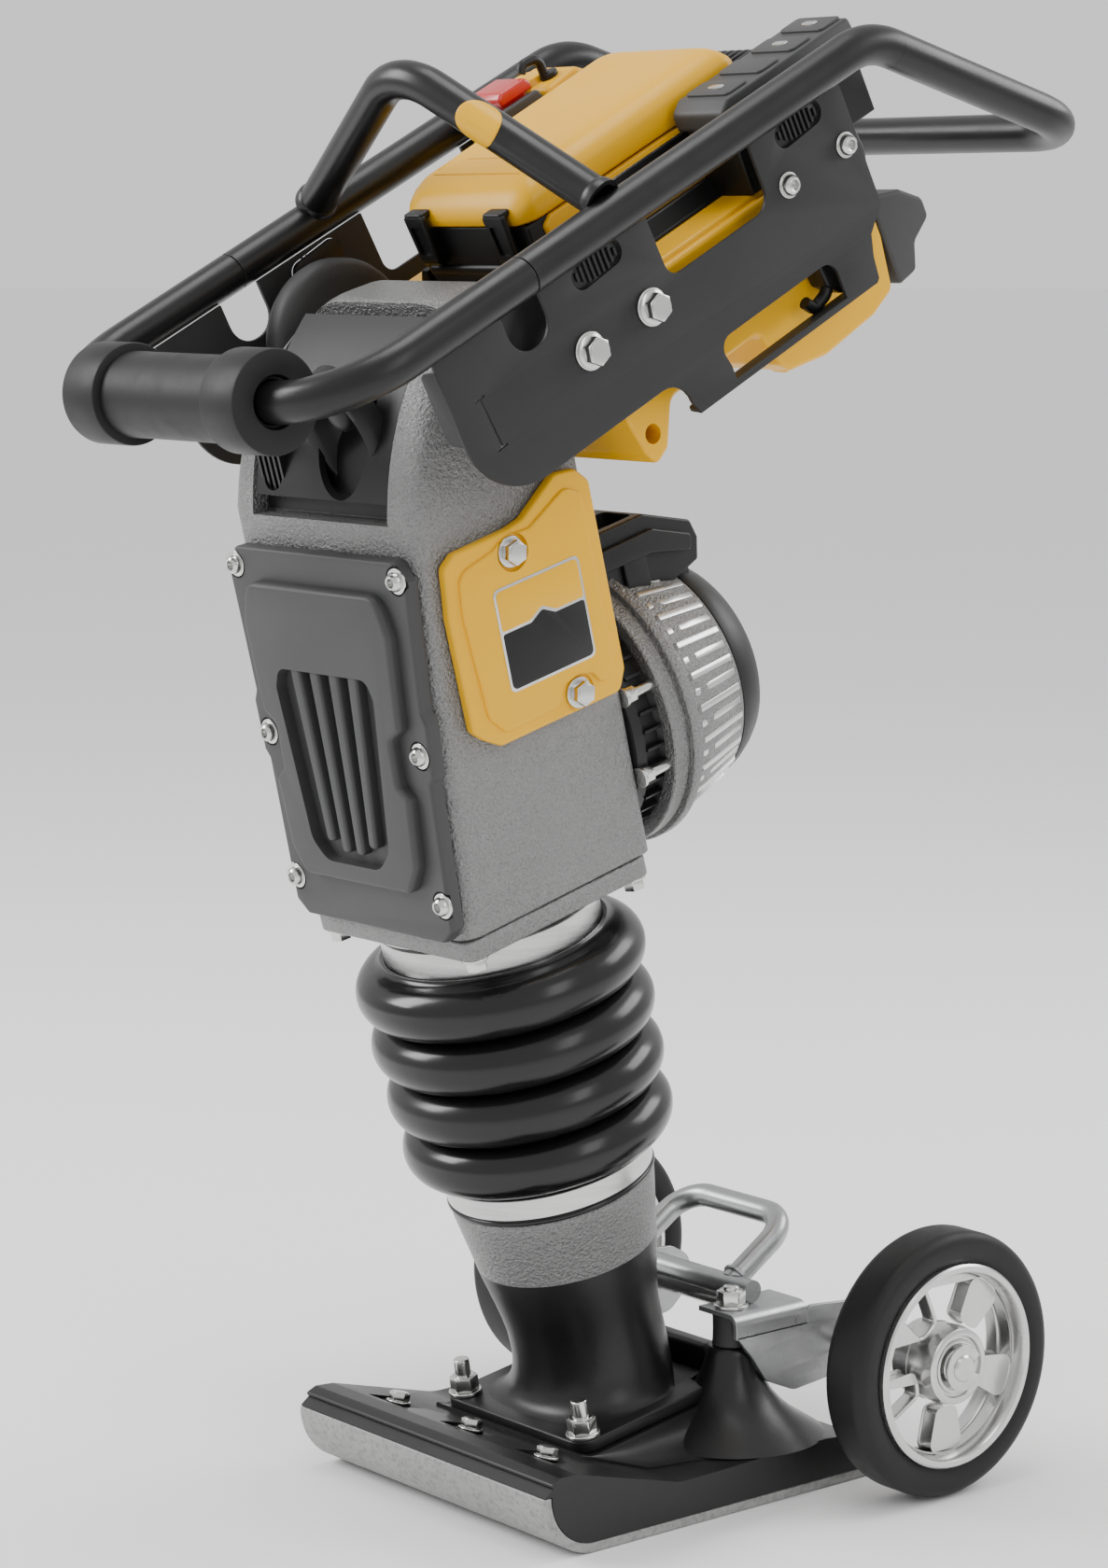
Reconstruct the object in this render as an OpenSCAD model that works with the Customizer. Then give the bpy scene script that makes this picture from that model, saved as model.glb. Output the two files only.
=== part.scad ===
// Battery powered jumping jack rammer with transport wheels.
// The origin is the centre of the flat sole. +Z is up, the toe points to -Y
// and the operator stands at +Y.

/* [Leg] */
// Angle by which the leg leans towards the toe
leg_lean = 16; // [15:0.5:17]
// Distance of the leg axis behind the sole centre at floor level
leg_y = 9.5; // [8:0.5:11]
// Length of the leg's stroke
stroke = 60; // [40:5:60]
// Outer radius of the leg tube that slides in the guide
leg_r = 64; // [63:0.5:65]
// Height of the top of the leg tube along the leg axis
leg_top = 445; // [435:1:446]
// Radius of the bellows over its top roll
bellows_r = 106; // [102:1:108]
// Height of the lower edge of the bellows along the leg axis
bellows_low = 263; // [258:1:268]
// Height of the upper edge of the bellows along the leg axis
bellows_high = 430; // [426:1:434]

/* [Shoe] */
// Width of the shoe
shoe_w = 286; // [280:1:290]
// Front end of the shoe
toe_y = -181; // [-190:1:-175]
// Rear end of the shoe
heel_y = 160; // [150:1:165]
// Outer radius of the upturned toe
toe_r = 47; // [44:1:50]
// Thickness of the wear plate
wear_t = 7; // [5:0.5:8]
// Angle of the seat under the foot flange
seat_tilt = 9.6; // [9:0.2:10.4]
// Width of the foot flange
flange_w = 162; // [158:1:166]

/* [Transport wheels] */
// Radius of the tyres
tyre_r = 98.3; // [96:0.1:98.3]
// Height of the axle above the floor
axle_z = 99.5; // [99.5:0.5:102]
// Distance of the axle behind the sole centre
axle_y = 142; // [140:1:150]
// Inner face of each tyre
tyre_in = 183; // [181:1:186]
// Width of each tyre
tyre_w = 39; // [36:1:41]
// Radius of the rims
rim_r = 76; // [74:1:78]
// Radius of the axle
axle_r = 10; // [9:0.5:10]

/* [Crankcase] */
// Height of the crankcase's lower edge along the leg axis
case_low = 474; // [474:1:476]
// Height of the hood's top along the leg axis
case_high = 896; // [892:1:900]
// Half of the crankcase's width at its lower edge
case_half_low = 89; // [88:0.5:91]
// Half of the crankcase's width at the foot of the hood
case_half_mid = 104; // [103:0.5:106]
// Rear face of the crankcase behind the leg axis
case_rear = 88; // [88:0.5:90]
// Wall thickness of the casting
case_wall = 7; // [6:0.5:8]

/* [Drive] */
// Height of the motor axis along the leg axis
motor_w = 560; // [558:1:561]
// Teeth of the pinion
pinion_teeth = 15; // [15]
// Teeth of the crank gear
gear_teeth = 60; // [60]
// Gear module
gear_module = 2.5; // [2.5]
// Outer radius of the motor's mounting ring
motor_ring_r = 106; // [104:1:108]
// Rear end of the motor cap behind the leg axis
motor_end = 233; // [230:1:236]

/* [Handle] */
// Slope of the rails
rail_slope = 27.6; // [27:0.1:28]
// Distance of each rail's axis from the middle
rail_x = 164.3; // [163:0.1:166]
// Height of the rail axes above the origin, across the slope
rail_t = 885; // [884:0.5:886]
// Radius of the tubes
tube_r = 14.25; // [13.5:0.05:14.5]
// Place of the roller's axis along the slope
roller_s = 47.6; // [46:0.2:49]
// Place of the lifting bail along the slope
bail_s = 305; // [303:1:307]
// Outer face of each side plate
plate_x = 158; // [157:0.5:159]
// Thickness of the side plates
plate_t = 3; // [2.5:0.5:3]

/* [Hidden] */
$fn = 64;
fit_gap = 0.05;
skin_gap = 0.3;
black = [0.07, 0.07, 0.07];
charcoal = [0.2, 0.2, 0.2];
yellow = [0.98, 0.76, 0.1];
alloy = [0.72, 0.72, 0.72];
zinc = [0.8, 0.8, 0.8];

heel_r = 30;
deck_front = [-93.5, 43.8];
flange_t = 10;
flange_len = 126;
ear_x = 80;
ear_y = 50;
ear_top = 101.5;
buffer_top = 126;
bracket_t = 4;
hub_r = 28;
paint_w = 184;
seal_w = 237;
roll_pitch = (bellows_high - bellows_low) / 4;
bore_r = 54;
rod_r = 14;

case_front_low = -86;
case_front_mid = -61.5;
hood_low = 770;
hood_arc = [146, 716.5, 214];
hood_rise = 130;
hood_power = 3.2;
front_tilt = atan((case_front_mid - case_front_low) / (hood_low - case_low));
cover_t = 12;
crank_w = motor_w + gear_module * (pinion_teeth + gear_teeth) / 2;
crank_r = stroke / 2;
rod_len = 96;
gear_v = 22;
gear_t = 18;
pin_r = 12;
shaft_r = 14;

fall_angle = 42.7;
bend_s = 568;
bend_r = 60;
fall_len = 230.7;
loop_r = 52;
front_r = 64;
seam_s = 219.6;
foot_bend = front_r + roller_s;
bail_slope = 33;
bail_r = 55;
pivot_s = 251;
pivot_t = 812.5;
bolt_s = 312;
tub_x = 128;
deck_t = 821.5;

// Points of an arc round [cx, cy]
function arc(cx, cy, r, a0, a1, n = 12) =
    [for (i = [0:n]) [cx + r * cos(a0 + (a1 - a0) * i / n), cy + r * sin(a0 + (a1 - a0) * i / n)]];
// Front face of the crankcase at height w
function case_front(w) =
    case_front_low + (case_front_mid - case_front_low) * (w - case_low) / (hood_low - case_low);
// Half width of the crankcase at height w
function case_half(w) = w <= hood_low
    ? case_half_low + (case_half_mid - case_half_low) * (w - case_low) / (hood_low - case_low)
    : case_half_mid * pow(1 - pow((w - hood_low) / hood_rise, hood_power), 1 / hood_power);
// Outline of a gear with straight-sided teeth
function gear_points(teeth, turn = 0) = [for (i = [0:teeth - 1], k = [0:3])
    let (a = turn + 360 / teeth * (i + [-0.27, -0.12, 0.12, 0.27][k]),
         r = gear_module * (teeth / 2 + [-1.25, 0.9, 0.9, -1.25][k]))
    [r * cos(a), r * sin(a)]];

module in_leg() {
    translate([0, leg_y, 0]) rotate([leg_lean, 0, 0]) children();
}
module in_rail() {
    rotate([rail_slope, 0, 0]) children();
}
// Seat of the foot flange
module on_deck() {
    translate([0, deck_front[0], deck_front[1]]) rotate([seat_tilt, 0, 0]) children();
}
// Extrudes a side view, drawn as [y, z], across X
module along_x(w) {
    rotate([90, 0, 90]) linear_extrude(w, center = true) children();
}
// Extrudes a front view, drawn as [x, z], along Y from y0 to y1
module along_y(y0, y1) {
    translate([0, y1, 0]) rotate([90, 0, 0]) linear_extrude(y1 - y0) children();
}
module both_sides() {
    children();
    mirror([1, 0, 0]) children();
}
// Cylinder along X between x0 and x1
module rod_x(r, x0, x1) {
    translate([x0, 0, 0]) rotate([0, 90, 0]) cylinder(r = r, h = x1 - x0);
}
// Cylinder along Y between y0 and y1
module rod_y(r, y0, y1) {
    translate([0, y0, 0]) rotate([-90, 0, 0]) cylinder(r = r, h = y1 - y0);
}
module ring_y(r_out, r_in, y0, y1) {
    difference() {
        rod_y(r_out, y0, y1);
        rod_y(r_in, y0 - 1, y1 + 1);
    }
}
module ring_x(r_out, r_in, x0, x1) {
    difference() {
        rod_x(r_out, x0, x1);
        rod_x(r_in, x0 - 1, x1 + 1);
    }
}
// Box with corners lo and hi
module block(lo, hi) {
    translate(lo) cube(hi - lo);
}
// Hex head with washer on top of z = 0 and its shank below
module hex_bolt(r, len, head_r, head_h) {
    cylinder(r = head_r * 1.15, h = 2);
    translate([0, 0, 2]) cylinder(r = head_r, h = head_h, $fn = 6);
    translate([0, 0, -len]) cylinder(r = r, h = len);
}
// Coil spring along Z as a swept tube
module coil(r, wire, turns, h, sides = 8, steps = 20) {
    n = turns * steps;
    points = [for (i = [0:n], k = [0:sides - 1])
        let (a = 360 * i / steps, b = 360 * k / sides, rr = r + wire * cos(b))
        [rr * cos(a), rr * sin(a), wire + (h - 2 * wire) * i / n + wire * sin(b)]];
    walls = [for (i = [0:n - 1], k = [0:sides - 1])
        let (a = i * sides + k, b = i * sides + (k + 1) % sides)
        [a, a + sides, b + sides, b]];
    ends = [[for (k = [0:sides - 1]) k], [for (k = [sides - 1:-1:0]) n * sides + k]];
    polyhedron(points, concat(walls, ends));
}

// Shoe
module wear_plate() {
    color(alloy) along_x(shoe_w) polygon(concat(
        arc(toe_y + toe_r, toe_r, toe_r, 180, 270),
        arc(heel_y - heel_r, heel_r, heel_r, 270, 330),
        arc(heel_y - heel_r, heel_r, heel_r - wear_t, 330, 270),
        arc(toe_y + toe_r, toe_r, toe_r - wear_t, 270, 180)));
}
module shoe_block() {
    lip = wear_t + skin_gap;
    color(black) difference() {
        union() {
            along_x(shoe_w) polygon(concat(
                [[toe_y, 54], [toe_y, toe_r + 0.5], [toe_y + lip, toe_r + 0.5]],
                arc(toe_y + toe_r, toe_r, toe_r - lip, 180, 270),
                arc(heel_y - heel_r, heel_r, heel_r - lip, 270, 330),
                [[150, 33], [88, 37], [-54, 34], [-154, 58.6], [-178, 57.5]]));
            along_x(flange_w + 6) polygon([[-96, 30], [-96, 43.2], [32, 65], [32, 30]]);
            both_sides() block([ear_x - 17, ear_y - 17.5, 20], [ear_x + 17, ear_y + 17.5, ear_top]);
            block([-64, 50, 20], [64, 67, 94]);
        }
        toe_bolt_places() translate([0, 0, -20]) cylinder(r = 5.1, h = 40);
        on_deck() foot_stud_places() translate([0, 0, -26]) cylinder(r = 7, h = 40);
        ear_places() translate([0, 0, -40]) cylinder(r = 7, h = 50);
    }
}
module toe_bolt_places() {
    for (x = [-86, 0, 86]) translate([x, -132, 53.2]) rotate([-13.8, 0, 0]) children();
}
module toe_bolts() {
    color(zinc) toe_bolt_places() hex_bolt(5, 18, 8, 6);
}
module foot_stud_places() {
    for (x = [-68, 68]) translate([x, 13, 0]) children();
}
module ear_places() {
    for (x = [-ear_x, ear_x]) translate([x, ear_y, ear_top]) children();
}
module foot_casting() {
    half = flange_w / 2;
    color(black) difference() {
        union() {
            on_deck() linear_extrude(flange_t) polygon(concat(
                arc(half - 14, 14, 14, 270, 360, 6), arc(half - 6, flange_len - 6, 6, 0, 90, 6),
                [[58, flange_len], [58, 141], [-58, 141], [-58, flange_len]],
                arc(6 - half, flange_len - 6, 6, 90, 180, 6), arc(14 - half, 14, 14, 180, 270, 6)));
            intersection() {
                in_leg() rotate_extrude($fn = 96) polygon([
                    [0, 40], [78, 40], [78, 58], [68, 70], [61, 84], [57.5, 100], [57.5, 118],
                    [60, 140], [64, 162], [68, paint_w], [0, paint_w]]);
                on_deck() block([-79, 2, 1], [79, 300, 300]);
            }
        }
        in_leg() translate([0, 0, 90]) cylinder(r = 48, h = 200);
        on_deck() foot_stud_places() translate([0, 0, -1]) cylinder(r = 6.5, h = 20);
        both_sides() block([ear_x - 17.3, ear_y - 17.8, 10], [ear_x + 20, 95, 110]);
        block([-64.3, 49.8, 10], [64.3, 95, 94.3]);
    }
}
module foot_studs() {
    color(zinc) on_deck() foot_stud_places() {
        translate([0, 0, -24]) cylinder(r = 6, h = 62);
        translate([0, 0, flange_t]) difference() {
            union() {
                cylinder(r = 12.5, h = 3);
                translate([0, 0, 3]) cylinder(r = 11, h = 11, $fn = 6);
            }
            translate([0, 0, -1]) cylinder(r = 6.2, h = 20);
        }
    }
}
module leg_cylinder() {
    color(alloy) in_leg() rotate_extrude($fn = 96) polygon([
        [0, paint_w], [68, paint_w], [76, seal_w], [leg_r, seal_w], [leg_r, leg_top],
        [rod_r + fit_gap, leg_top], [rod_r + fit_gap, leg_top - 12], [bore_r, leg_top - 12],
        [bore_r, paint_w + 10], [0, paint_w + 10]]);
}
module leg_seal_ring() {
    color(black) in_leg() translate([0, 0, seal_w]) difference() {
        cylinder(r = 77.8, h = 3.5, $fn = 96);
        translate([0, 0, -1]) cylinder(r = leg_r + skin_gap, h = 6, $fn = 96);
    }
}
module lower_collar() {
    color(alloy) in_leg() translate([0, 0, seal_w + 3.5]) difference() {
        cylinder(r = 77, h = 31, $fn = 96);
        translate([0, 0, -1]) cylinder(r = leg_r + skin_gap, h = 33, $fn = 96);
    }
}
module bellows() {
    half = roll_pitch / 2;
    core = [for (i = [0:3]) bellows_r - half - 2 * (3 - i)];
    outer = [for (i = [0:3], a = [-84:12:84])
        [core[i] + half * cos(a), bellows_low + half * (2 * i + 1) + half * sin(a)]];
    inner = [for (i = [3:-1:0], a = [84:-12:-84])
        [max(77.5, core[i] - 4 + (half - 5) * cos(a)) + (i == 3 && a > 60 ? 1 : 0),
         bellows_low + half * (2 * i + 1) + (half - (i == 0 || i == 3 ? 0 : 4)) * sin(a)]];
    color(black) in_leg() rotate_extrude($fn = 96) polygon(concat(outer, inner));
}
module lower_spring() {
    color(zinc) in_leg() translate([0, 0, paint_w + 11]) coil(34, 6, 5, 121);
}
module upper_spring() {
    color(zinc) in_leg() translate([0, 0, 345]) coil(34, 6, 4, 87);
}

// Transport wheels and grab handle
module rear_buffers() {
    color(black) ear_places() difference() {
        cylinder(r = 14, h = buffer_top - ear_top);
        translate([0, 0, -1]) cylinder(r = 6.6, h = 40);
    }
}
module right_wheel_bracket() {
    wall = [[52, buffer_top], [53, 96], [66, 76], [95, 64], [150, 72], [170, 90], [168, 112],
            [152, 122], [105, buffer_top]];
    color(zinc) difference() {
        union() {
            block([62, 34, buffer_top], [104, 105, buffer_top + bracket_t]);
            translate([102, 0, 0]) along_x(bracket_t) polygon(wall);
        }
        translate([ear_x, ear_y, 100]) cylinder(r = 6.6, h = 60);
        translate([0, axle_y, axle_z]) rod_x(axle_r + 0.1, 90, 120);
    }
}
module left_wheel_bracket() {
    mirror([1, 0, 0]) right_wheel_bracket();
}
module bracket_nuts() {
    color(zinc) ear_places() {
        translate([0, 0, -38]) cylinder(r = 6, h = 82);
        translate([0, 0, buffer_top + bracket_t - ear_top]) difference() {
            union() {
                cylinder(r = 13, h = 2.5);
                translate([0, 0, 2.5]) cylinder(r = 11, h = 10, $fn = 6);
            }
            translate([0, 0, -1]) cylinder(r = 6.2, h = 20);
        }
    }
}
// Bent round bar that stands up behind the leg, with the bar that ties the brackets
module grab_handle() {
    bar_r = 9;
    half = 58;
    reach = 74;
    bend = 26;
    color(zinc) translate([0, 68, buffer_top + bracket_t + bar_r]) rotate([33, 0, 0]) {
        both_sides() {
            translate([half, 0, 0]) rod_y(bar_r, 7, reach - bend);
            translate([half - bend, reach - bend, 0]) rotate_extrude(angle = 90)
                translate([bend, 0]) circle(bar_r);
        }
        translate([0, reach, 0]) rod_x(bar_r, bend - half, half - bend);
        rod_x(bar_r - 0.5, -66, 66);
    }
}
module wheel_axle() {
    color(zinc) translate([0, axle_y, axle_z]) {
        rod_x(axle_r, -232, 232);
        both_sides() ring_x(17, axle_r, 228, 230.5);
    }
}
module right_tyre() {
    color(black) translate([0, axle_y, axle_z]) rotate([0, 90, 0]) rotate_extrude($fn = 96)
        polygon(concat([[rim_r, tyre_in + 2]],
            arc(tyre_r - 9, tyre_in + 9, 9, 270, 360, 5),
            arc(tyre_r - 9, tyre_in + tyre_w - 9, 9, 0, 90, 5),
            [[rim_r, tyre_in + tyre_w - 2]]));
}
module left_tyre() {
    mirror([1, 0, 0]) right_tyre();
}
module right_rim() {
    mid = tyre_in + tyre_w / 2;
    color(alloy) translate([0, axle_y, axle_z]) difference() {
        union() {
            ring_x(rim_r - skin_gap, rim_r - 9, tyre_in, tyre_in + tyre_w + 2);
            for (i = [0:4]) rotate([72 * i + 90, 0, 0])
                translate([mid, 0, 0]) along_x(10) polygon([[-9, hub_r - 4], [9, hub_r - 4],
                    [26, rim_r - 12], [0, rim_r - 7], [-26, rim_r - 12]]);
            rod_x(hub_r, tyre_in - 1, 227);
        }
        rod_x(axle_r + fit_gap, tyre_in - 5, 240);
    }
}
module left_rim() {
    mirror([1, 0, 0]) right_rim();
}

// Machine
module case_solid(inset, w_low, w_high) {
    along_y(-200, 200) polygon(concat(
        [for (i = [0:16]) let (w = w_low + (w_high - w_low) * i / 16) [case_half(w) - inset, w]],
        [for (i = [16:-1:0]) let (w = w_low + (w_high - w_low) * i / 16) [inset - case_half(w), w]]));
}
module pivot_place() {
    in_rail() translate([0, pivot_s, pivot_t]) children();
}
module case_profile() {
    polygon(concat(
        [[case_rear, case_low], [case_front_low, case_low]],
        arc(hood_arc[0], hood_arc[1], hood_arc[2], 165.5, 123.6, 10),
        [[case_rear - 12, case_high], [case_rear, case_high - 10]]));
}
module crankcase() {
    color(alloy) difference() {
        union() {
            in_leg() difference() {
                intersection() {
                    along_x(260) case_profile();
                    case_solid(0, case_low, 899);
                }
                intersection() {
                    along_x(260) polygon([[80, case_low - 1], [-79, case_low - 1], [-57, 745], [80, 745]]);
                    case_solid(case_wall, case_low - 1, 746);
                }
                intersection() {
                    along_x(260) polygon(concat([[80, 756], [-48, 756]],
                        arc(hood_arc[0], hood_arc[1], hood_arc[2] - case_wall, 163, 125, 8),
                        [[72, case_high - 8], [80, case_high - 14]]));
                    case_solid(case_wall, 755, 892);
                }
                block([-74, -110, 502], [74, -50, 722]);
                block([-75, -110, 767], [75, 27, 910]);
                translate([0, 0, motor_w]) rod_y(30, 70, 100);
                cover_screw_places() rotate([90, 0, 0]) translate([0, 0, -30]) cylinder(r = 4.1, h = 60);
            }
            in_leg() translate([0, 0, crank_w]) ring_y(34, 26, 46, 82);
            both_sides() pivot_place() rod_x(22, 86, 106);
        }
        both_sides() pivot_place() rod_x(8 + fit_gap, 60, 120);
        in_leg() both_sides() side_bolt_places() rod_x(5.1, 60, 130);
    }
}
module guide_flange() {
    color(alloy) in_leg() difference() {
        union() {
            translate([0, 0, case_low - 15]) linear_extrude(15) polygon(concat(
                arc(case_half_low - 8, case_front_low + 8, 8, 270, 360, 4),
                arc(case_half_low - 8, 86 - 8, 8, 0, 90, 4),
                arc(8 - case_half_low, 86 - 8, 8, 90, 180, 4),
                arc(8 - case_half_low, case_front_low + 8, 8, 180, 270, 4)));
            translate([0, 0, 424]) cylinder(r = 80, h = 40, $fn = 96);
        }
        translate([0, 0, 400]) cylinder(r = 70, h = 100, $fn = 96);
        flange_bolt_places() translate([0, 0, -1]) cylinder(r = 5.2, h = 30);
    }
}
module guide_bush() {
    color([0.7, 0.55, 0.3]) in_leg() translate([0, 0, 425]) difference() {
        cylinder(r = 70 - skin_gap, h = 48, $fn = 96);
        translate([0, 0, -1]) cylinder(r = leg_r + fit_gap, h = 60, $fn = 96);
    }
}
module flange_bolt_places() {
    for (x = [-78, 78], v = [-75, 74]) translate([x, v, case_low - 15]) children();
}
module flange_bolts() {
    color(zinc) in_leg() flange_bolt_places() {
        translate([0, 0, -2]) cylinder(r = 9, h = 2);
        translate([0, 0, -9]) cylinder(r = 8, h = 7, $fn = 6);
        cylinder(r = 5, h = 14.5);
    }
}
module piston_rod() {
    color(zinc) in_leg() {
        translate([0, 0, 318]) cylinder(r = bore_r - fit_gap, h = 26, $fn = 96);
        translate([0, 0, 340]) cylinder(r = rod_r, h = 171, $fn = 96);
    }
}
// Frame on the front face: Y out of the face is negative, Z runs up it
module in_front() {
    translate([0, case_front_low, case_low]) rotate([-front_tilt, 0, 0]) children();
}
module cover_screw_places() {
    in_front() for (side = [-1, 1], p = [[82.5, 31], [86.5, 141], [91, 260]])
        translate([side * p[0], -cover_t, p[1]]) children();
}
module front_cover() {
    color(charcoal) in_leg() difference() {
        in_front() difference() {
            union() {
                along_y(-cover_t, 0) polygon([[78, 3], [89, 13], [101.5, 260], [88, 273],
                    [-88, 273], [-101.5, 260], [-89, 13], [-78, 3]]);
                along_y(-cover_t - 9, -6) polygon([[58, 36], [72, 58], [80, 227], [70, 253],
                    [-70, 253], [-80, 227], [-72, 58], [-58, 36]]);
            }
            along_y(-30, -7) polygon([[36, 56], [52, 74], [58, 182], [48, 195],
                [-48, 195], [-58, 182], [-52, 74], [-36, 56]]);
        }
        cover_screw_places() rotate([90, 0, 0]) translate([0, 0, -30]) cylinder(r = 4.3, h = 40);
    }
}
module cover_screws() {
    color(zinc) in_leg() cover_screw_places() rotate([90, 0, 0]) {
        cylinder(r = 8.5, h = 5);
        translate([0, 0, -22]) cylinder(r = 4, h = 22);
    }
}
module side_bolt_places() {
    for (p = [[8, 728], [43, 613]]) translate([0, p[0], p[1]]) children();
}
module right_side_cover() {
    color(yellow) in_leg() difference() {
        intersection() {
            along_y(-60, 100) polygon([[case_half(598) + 0.1, 598], [case_half(598) + 11, 598],
                [case_half(768) + 11, 768], [case_half(768) + 0.1, 768]]);
            along_x(260) polygon([[-52, 620], [-52, 716], [-49, 738], [-45, 742], [10, 743.5],
                [22, 745], [60, 766], [75, 765], [86, 755], [87, 612], [81, 600], [-31, 601],
                [-43, 611]]);
        }
        side_bolt_places() rod_x(5.3, 60, 140);
    }
}
module left_side_cover() {
    mirror([1, 0, 0]) right_side_cover();
}
module side_cover_bolts() {
    color(zinc) in_leg() both_sides() side_bolt_places() {
        rod_x(5, 84, 116);
        translate([116, 0, 0]) rotate([0, 90, 0]) cylinder(r = 10, h = 7, $fn = 6);
    }
}
module hood_panel() {
    r = hood_arc[2];
    color(black) in_leg() difference() {
        union() {
            intersection() {
                along_x(149) polygon(concat(arc(hood_arc[0], hood_arc[1], r - 1.5, 163.4, 125.8, 10),
                    arc(hood_arc[0], hood_arc[1], r - 6, 125.8, 163.4, 10)));
                case_solid(4, 755, 899);
            }
            translate([0, -22, 815]) rotate([90, 0, 0]) difference() {
                cylinder(r = 42, h = 14);
                translate([0, 0, 3]) cylinder(r = 38, h = 20);
            }
            translate([0, -25, 815]) rotate([90, 0, 0]) cylinder(r = 20, h = 19);
        }
        translate([0, -36, 815]) rotate([90, 0, 0]) difference() {
            cylinder(r = 38, h = 40);
            translate([0, 0, -1]) cylinder(r = 20, h = 9);
        }
    }
}

// Drive
module crank_gear() {
    color(alloy) in_leg() {
        translate([0, gear_v + gear_t, crank_w]) rotate([90, 0, 0])
            linear_extrude(gear_t) polygon(gear_points(gear_teeth));
        translate([0, 0, crank_w]) rod_y(shaft_r, gear_v + gear_t, 78);
        translate([0, 0, crank_w - crank_r]) rod_y(pin_r, -16, gear_v);
    }
}
module connecting_rod() {
    color(charcoal) in_leg() translate([0, 0, crank_w - crank_r]) difference() {
        union() {
            rod_y(21, -12, 12);
            translate([0, 0, -rod_len]) rod_y(15.5, -12, 12);
            block([-9, -8, -rod_len + 8], [9, 8, -14]);
        }
        rod_y(pin_r + fit_gap, -13, 13);
        translate([0, 0, -rod_len]) rod_y(8, -13, 13);
    }
}
module crank_bearings() {
    color(zinc) in_leg() translate([0, 0, crank_w]) for (v = [48, 65])
        ring_y(26 - skin_gap, shaft_r + fit_gap, v, v + 14);
}
module motor_rotor() {
    color(charcoal) in_leg() translate([0, 0, motor_w]) {
        rod_y(10, gear_v, 214);
        translate([0, gear_v + gear_t, 0]) rotate([90, 0, 0])
            linear_extrude(gear_t) polygon(gear_points(pinion_teeth, 90 + 180 / pinion_teeth));
        rod_y(50, 128, 192);
    }
}
module motor_stator() {
    color([0.7, 0.4, 0.2]) in_leg() translate([0, 0, motor_w]) ring_y(80 - skin_gap, 51, 126, 194);
}
module motor_adapter() {
    color(black) in_leg() translate([0, 0, motor_w]) difference() {
        union() {
            rod_y(94, case_rear, 117);
            for (x = [-96, 96]) translate([x, 0, 30]) rod_y(9, case_rear + 2, 112);
        }
        rod_y(10 + fit_gap, case_rear - 1, 118);
        rod_y(80, 96, 118);
        rod_y(26, case_rear - 1, 92);
    }
}
module motor_barrel() {
    color(alloy) in_leg() translate([0, 0, motor_w]) rotate([-90, 0, 0]) difference() {
        rotate_extrude($fn = 96) polygon([[80, 117], [104, 117], [104, 130], [101, 132],
            [motor_ring_r, 134], [motor_ring_r, 142], [100, 145], [98, 160], [88, 201], [80, 201]]);
        translate([0, 0, 160]) for (i = [0:9]) rotate([0, 0, 18 * i - 60]) translate([98, -2, 0])
            cube([20, 4, 36]);
    }
}
module motor_cap() {
    color(black) in_leg() translate([0, 0, motor_w]) rotate([-90, 0, 0]) rotate_extrude($fn = 96)
        polygon([[10 + fit_gap, 201], [87, 201], [86, 210], [74, motor_end], [0, motor_end],
            [0, 220], [10 + fit_gap, 220]]);
}
module connector_box() {
    color(black) in_leg() difference() {
        union() {
            block([-46, 138, 640], [46, 222, 672]);
            block([-46, 126, 640], [46, 206, 688]);
        }
        translate([0, 0, motor_w]) rod_y(motor_ring_r + skin_gap, 100, 300);
        block([-34, 140, 678], [-4, 196, 700]);
        block([6, 140, 678], [36, 196, 700]);
    }
}

// Handle
module shock_mounts() {
    color(black) both_sides() pivot_place()
        ring_x(22, 8 + skin_gap, 106.5, plate_x - plate_t - skin_gap);
}
module pivot_bolts() {
    color(zinc) both_sides() pivot_place() {
        rod_x(8, 74, plate_x);
        translate([plate_x, 0, 0]) rotate([0, 90, 0]) hex_bolt(4, 1, 9.5, 6.5);
    }
}
module in_fall() {
    translate([0, bend_s * cos(rail_slope) - rail_t * sin(rail_slope),
        bend_s * sin(rail_slope) + rail_t * cos(rail_slope)])
        rotate([rail_slope - fall_angle, 0, 0]) children();
}
module right_rail() {
    tangent = bend_r * tan(fall_angle / 2);
    color(black) in_rail() translate([rail_x, 0, rail_t]) {
        rod_y(tube_r, seam_s, bend_s - tangent);
        translate([0, bend_s - tangent, -bend_r]) rotate([0, -90, 0])
            rotate_extrude(angle = fall_angle) translate([bend_r, 0]) circle(tube_r);
    }
}
module left_rail() {
    mirror([1, 0, 0]) right_rail();
}
module rear_crossbar() {
    color(black) in_fall() {
        both_sides() {
            translate([rail_x, 0, 0])
                rod_y(tube_r, bend_r * tan(fall_angle / 2) + 0.02, fall_len - loop_r);
            translate([rail_x - loop_r, fall_len - loop_r, 0])
                rotate_extrude(angle = 90) translate([loop_r, 0]) circle(tube_r);
        }
        translate([0, fall_len, 0]) rod_x(tube_r, loop_r - rail_x, rail_x - loop_r);
    }
}
module front_loop() {
    color(black) in_rail() translate([0, 0, rail_t]) {
        both_sides() {
            translate([rail_x, 0, 0]) rod_y(tube_r, foot_bend, seam_s);
            translate([rail_x - front_r, foot_bend, 0]) rotate([0, 0, -90])
                rotate_extrude(angle = 90) translate([front_r, 0]) circle(tube_r);
        }
        translate([0, roller_s, 0]) rod_x(tube_r, front_r - rail_x, rail_x - front_r);
    }
}
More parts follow.
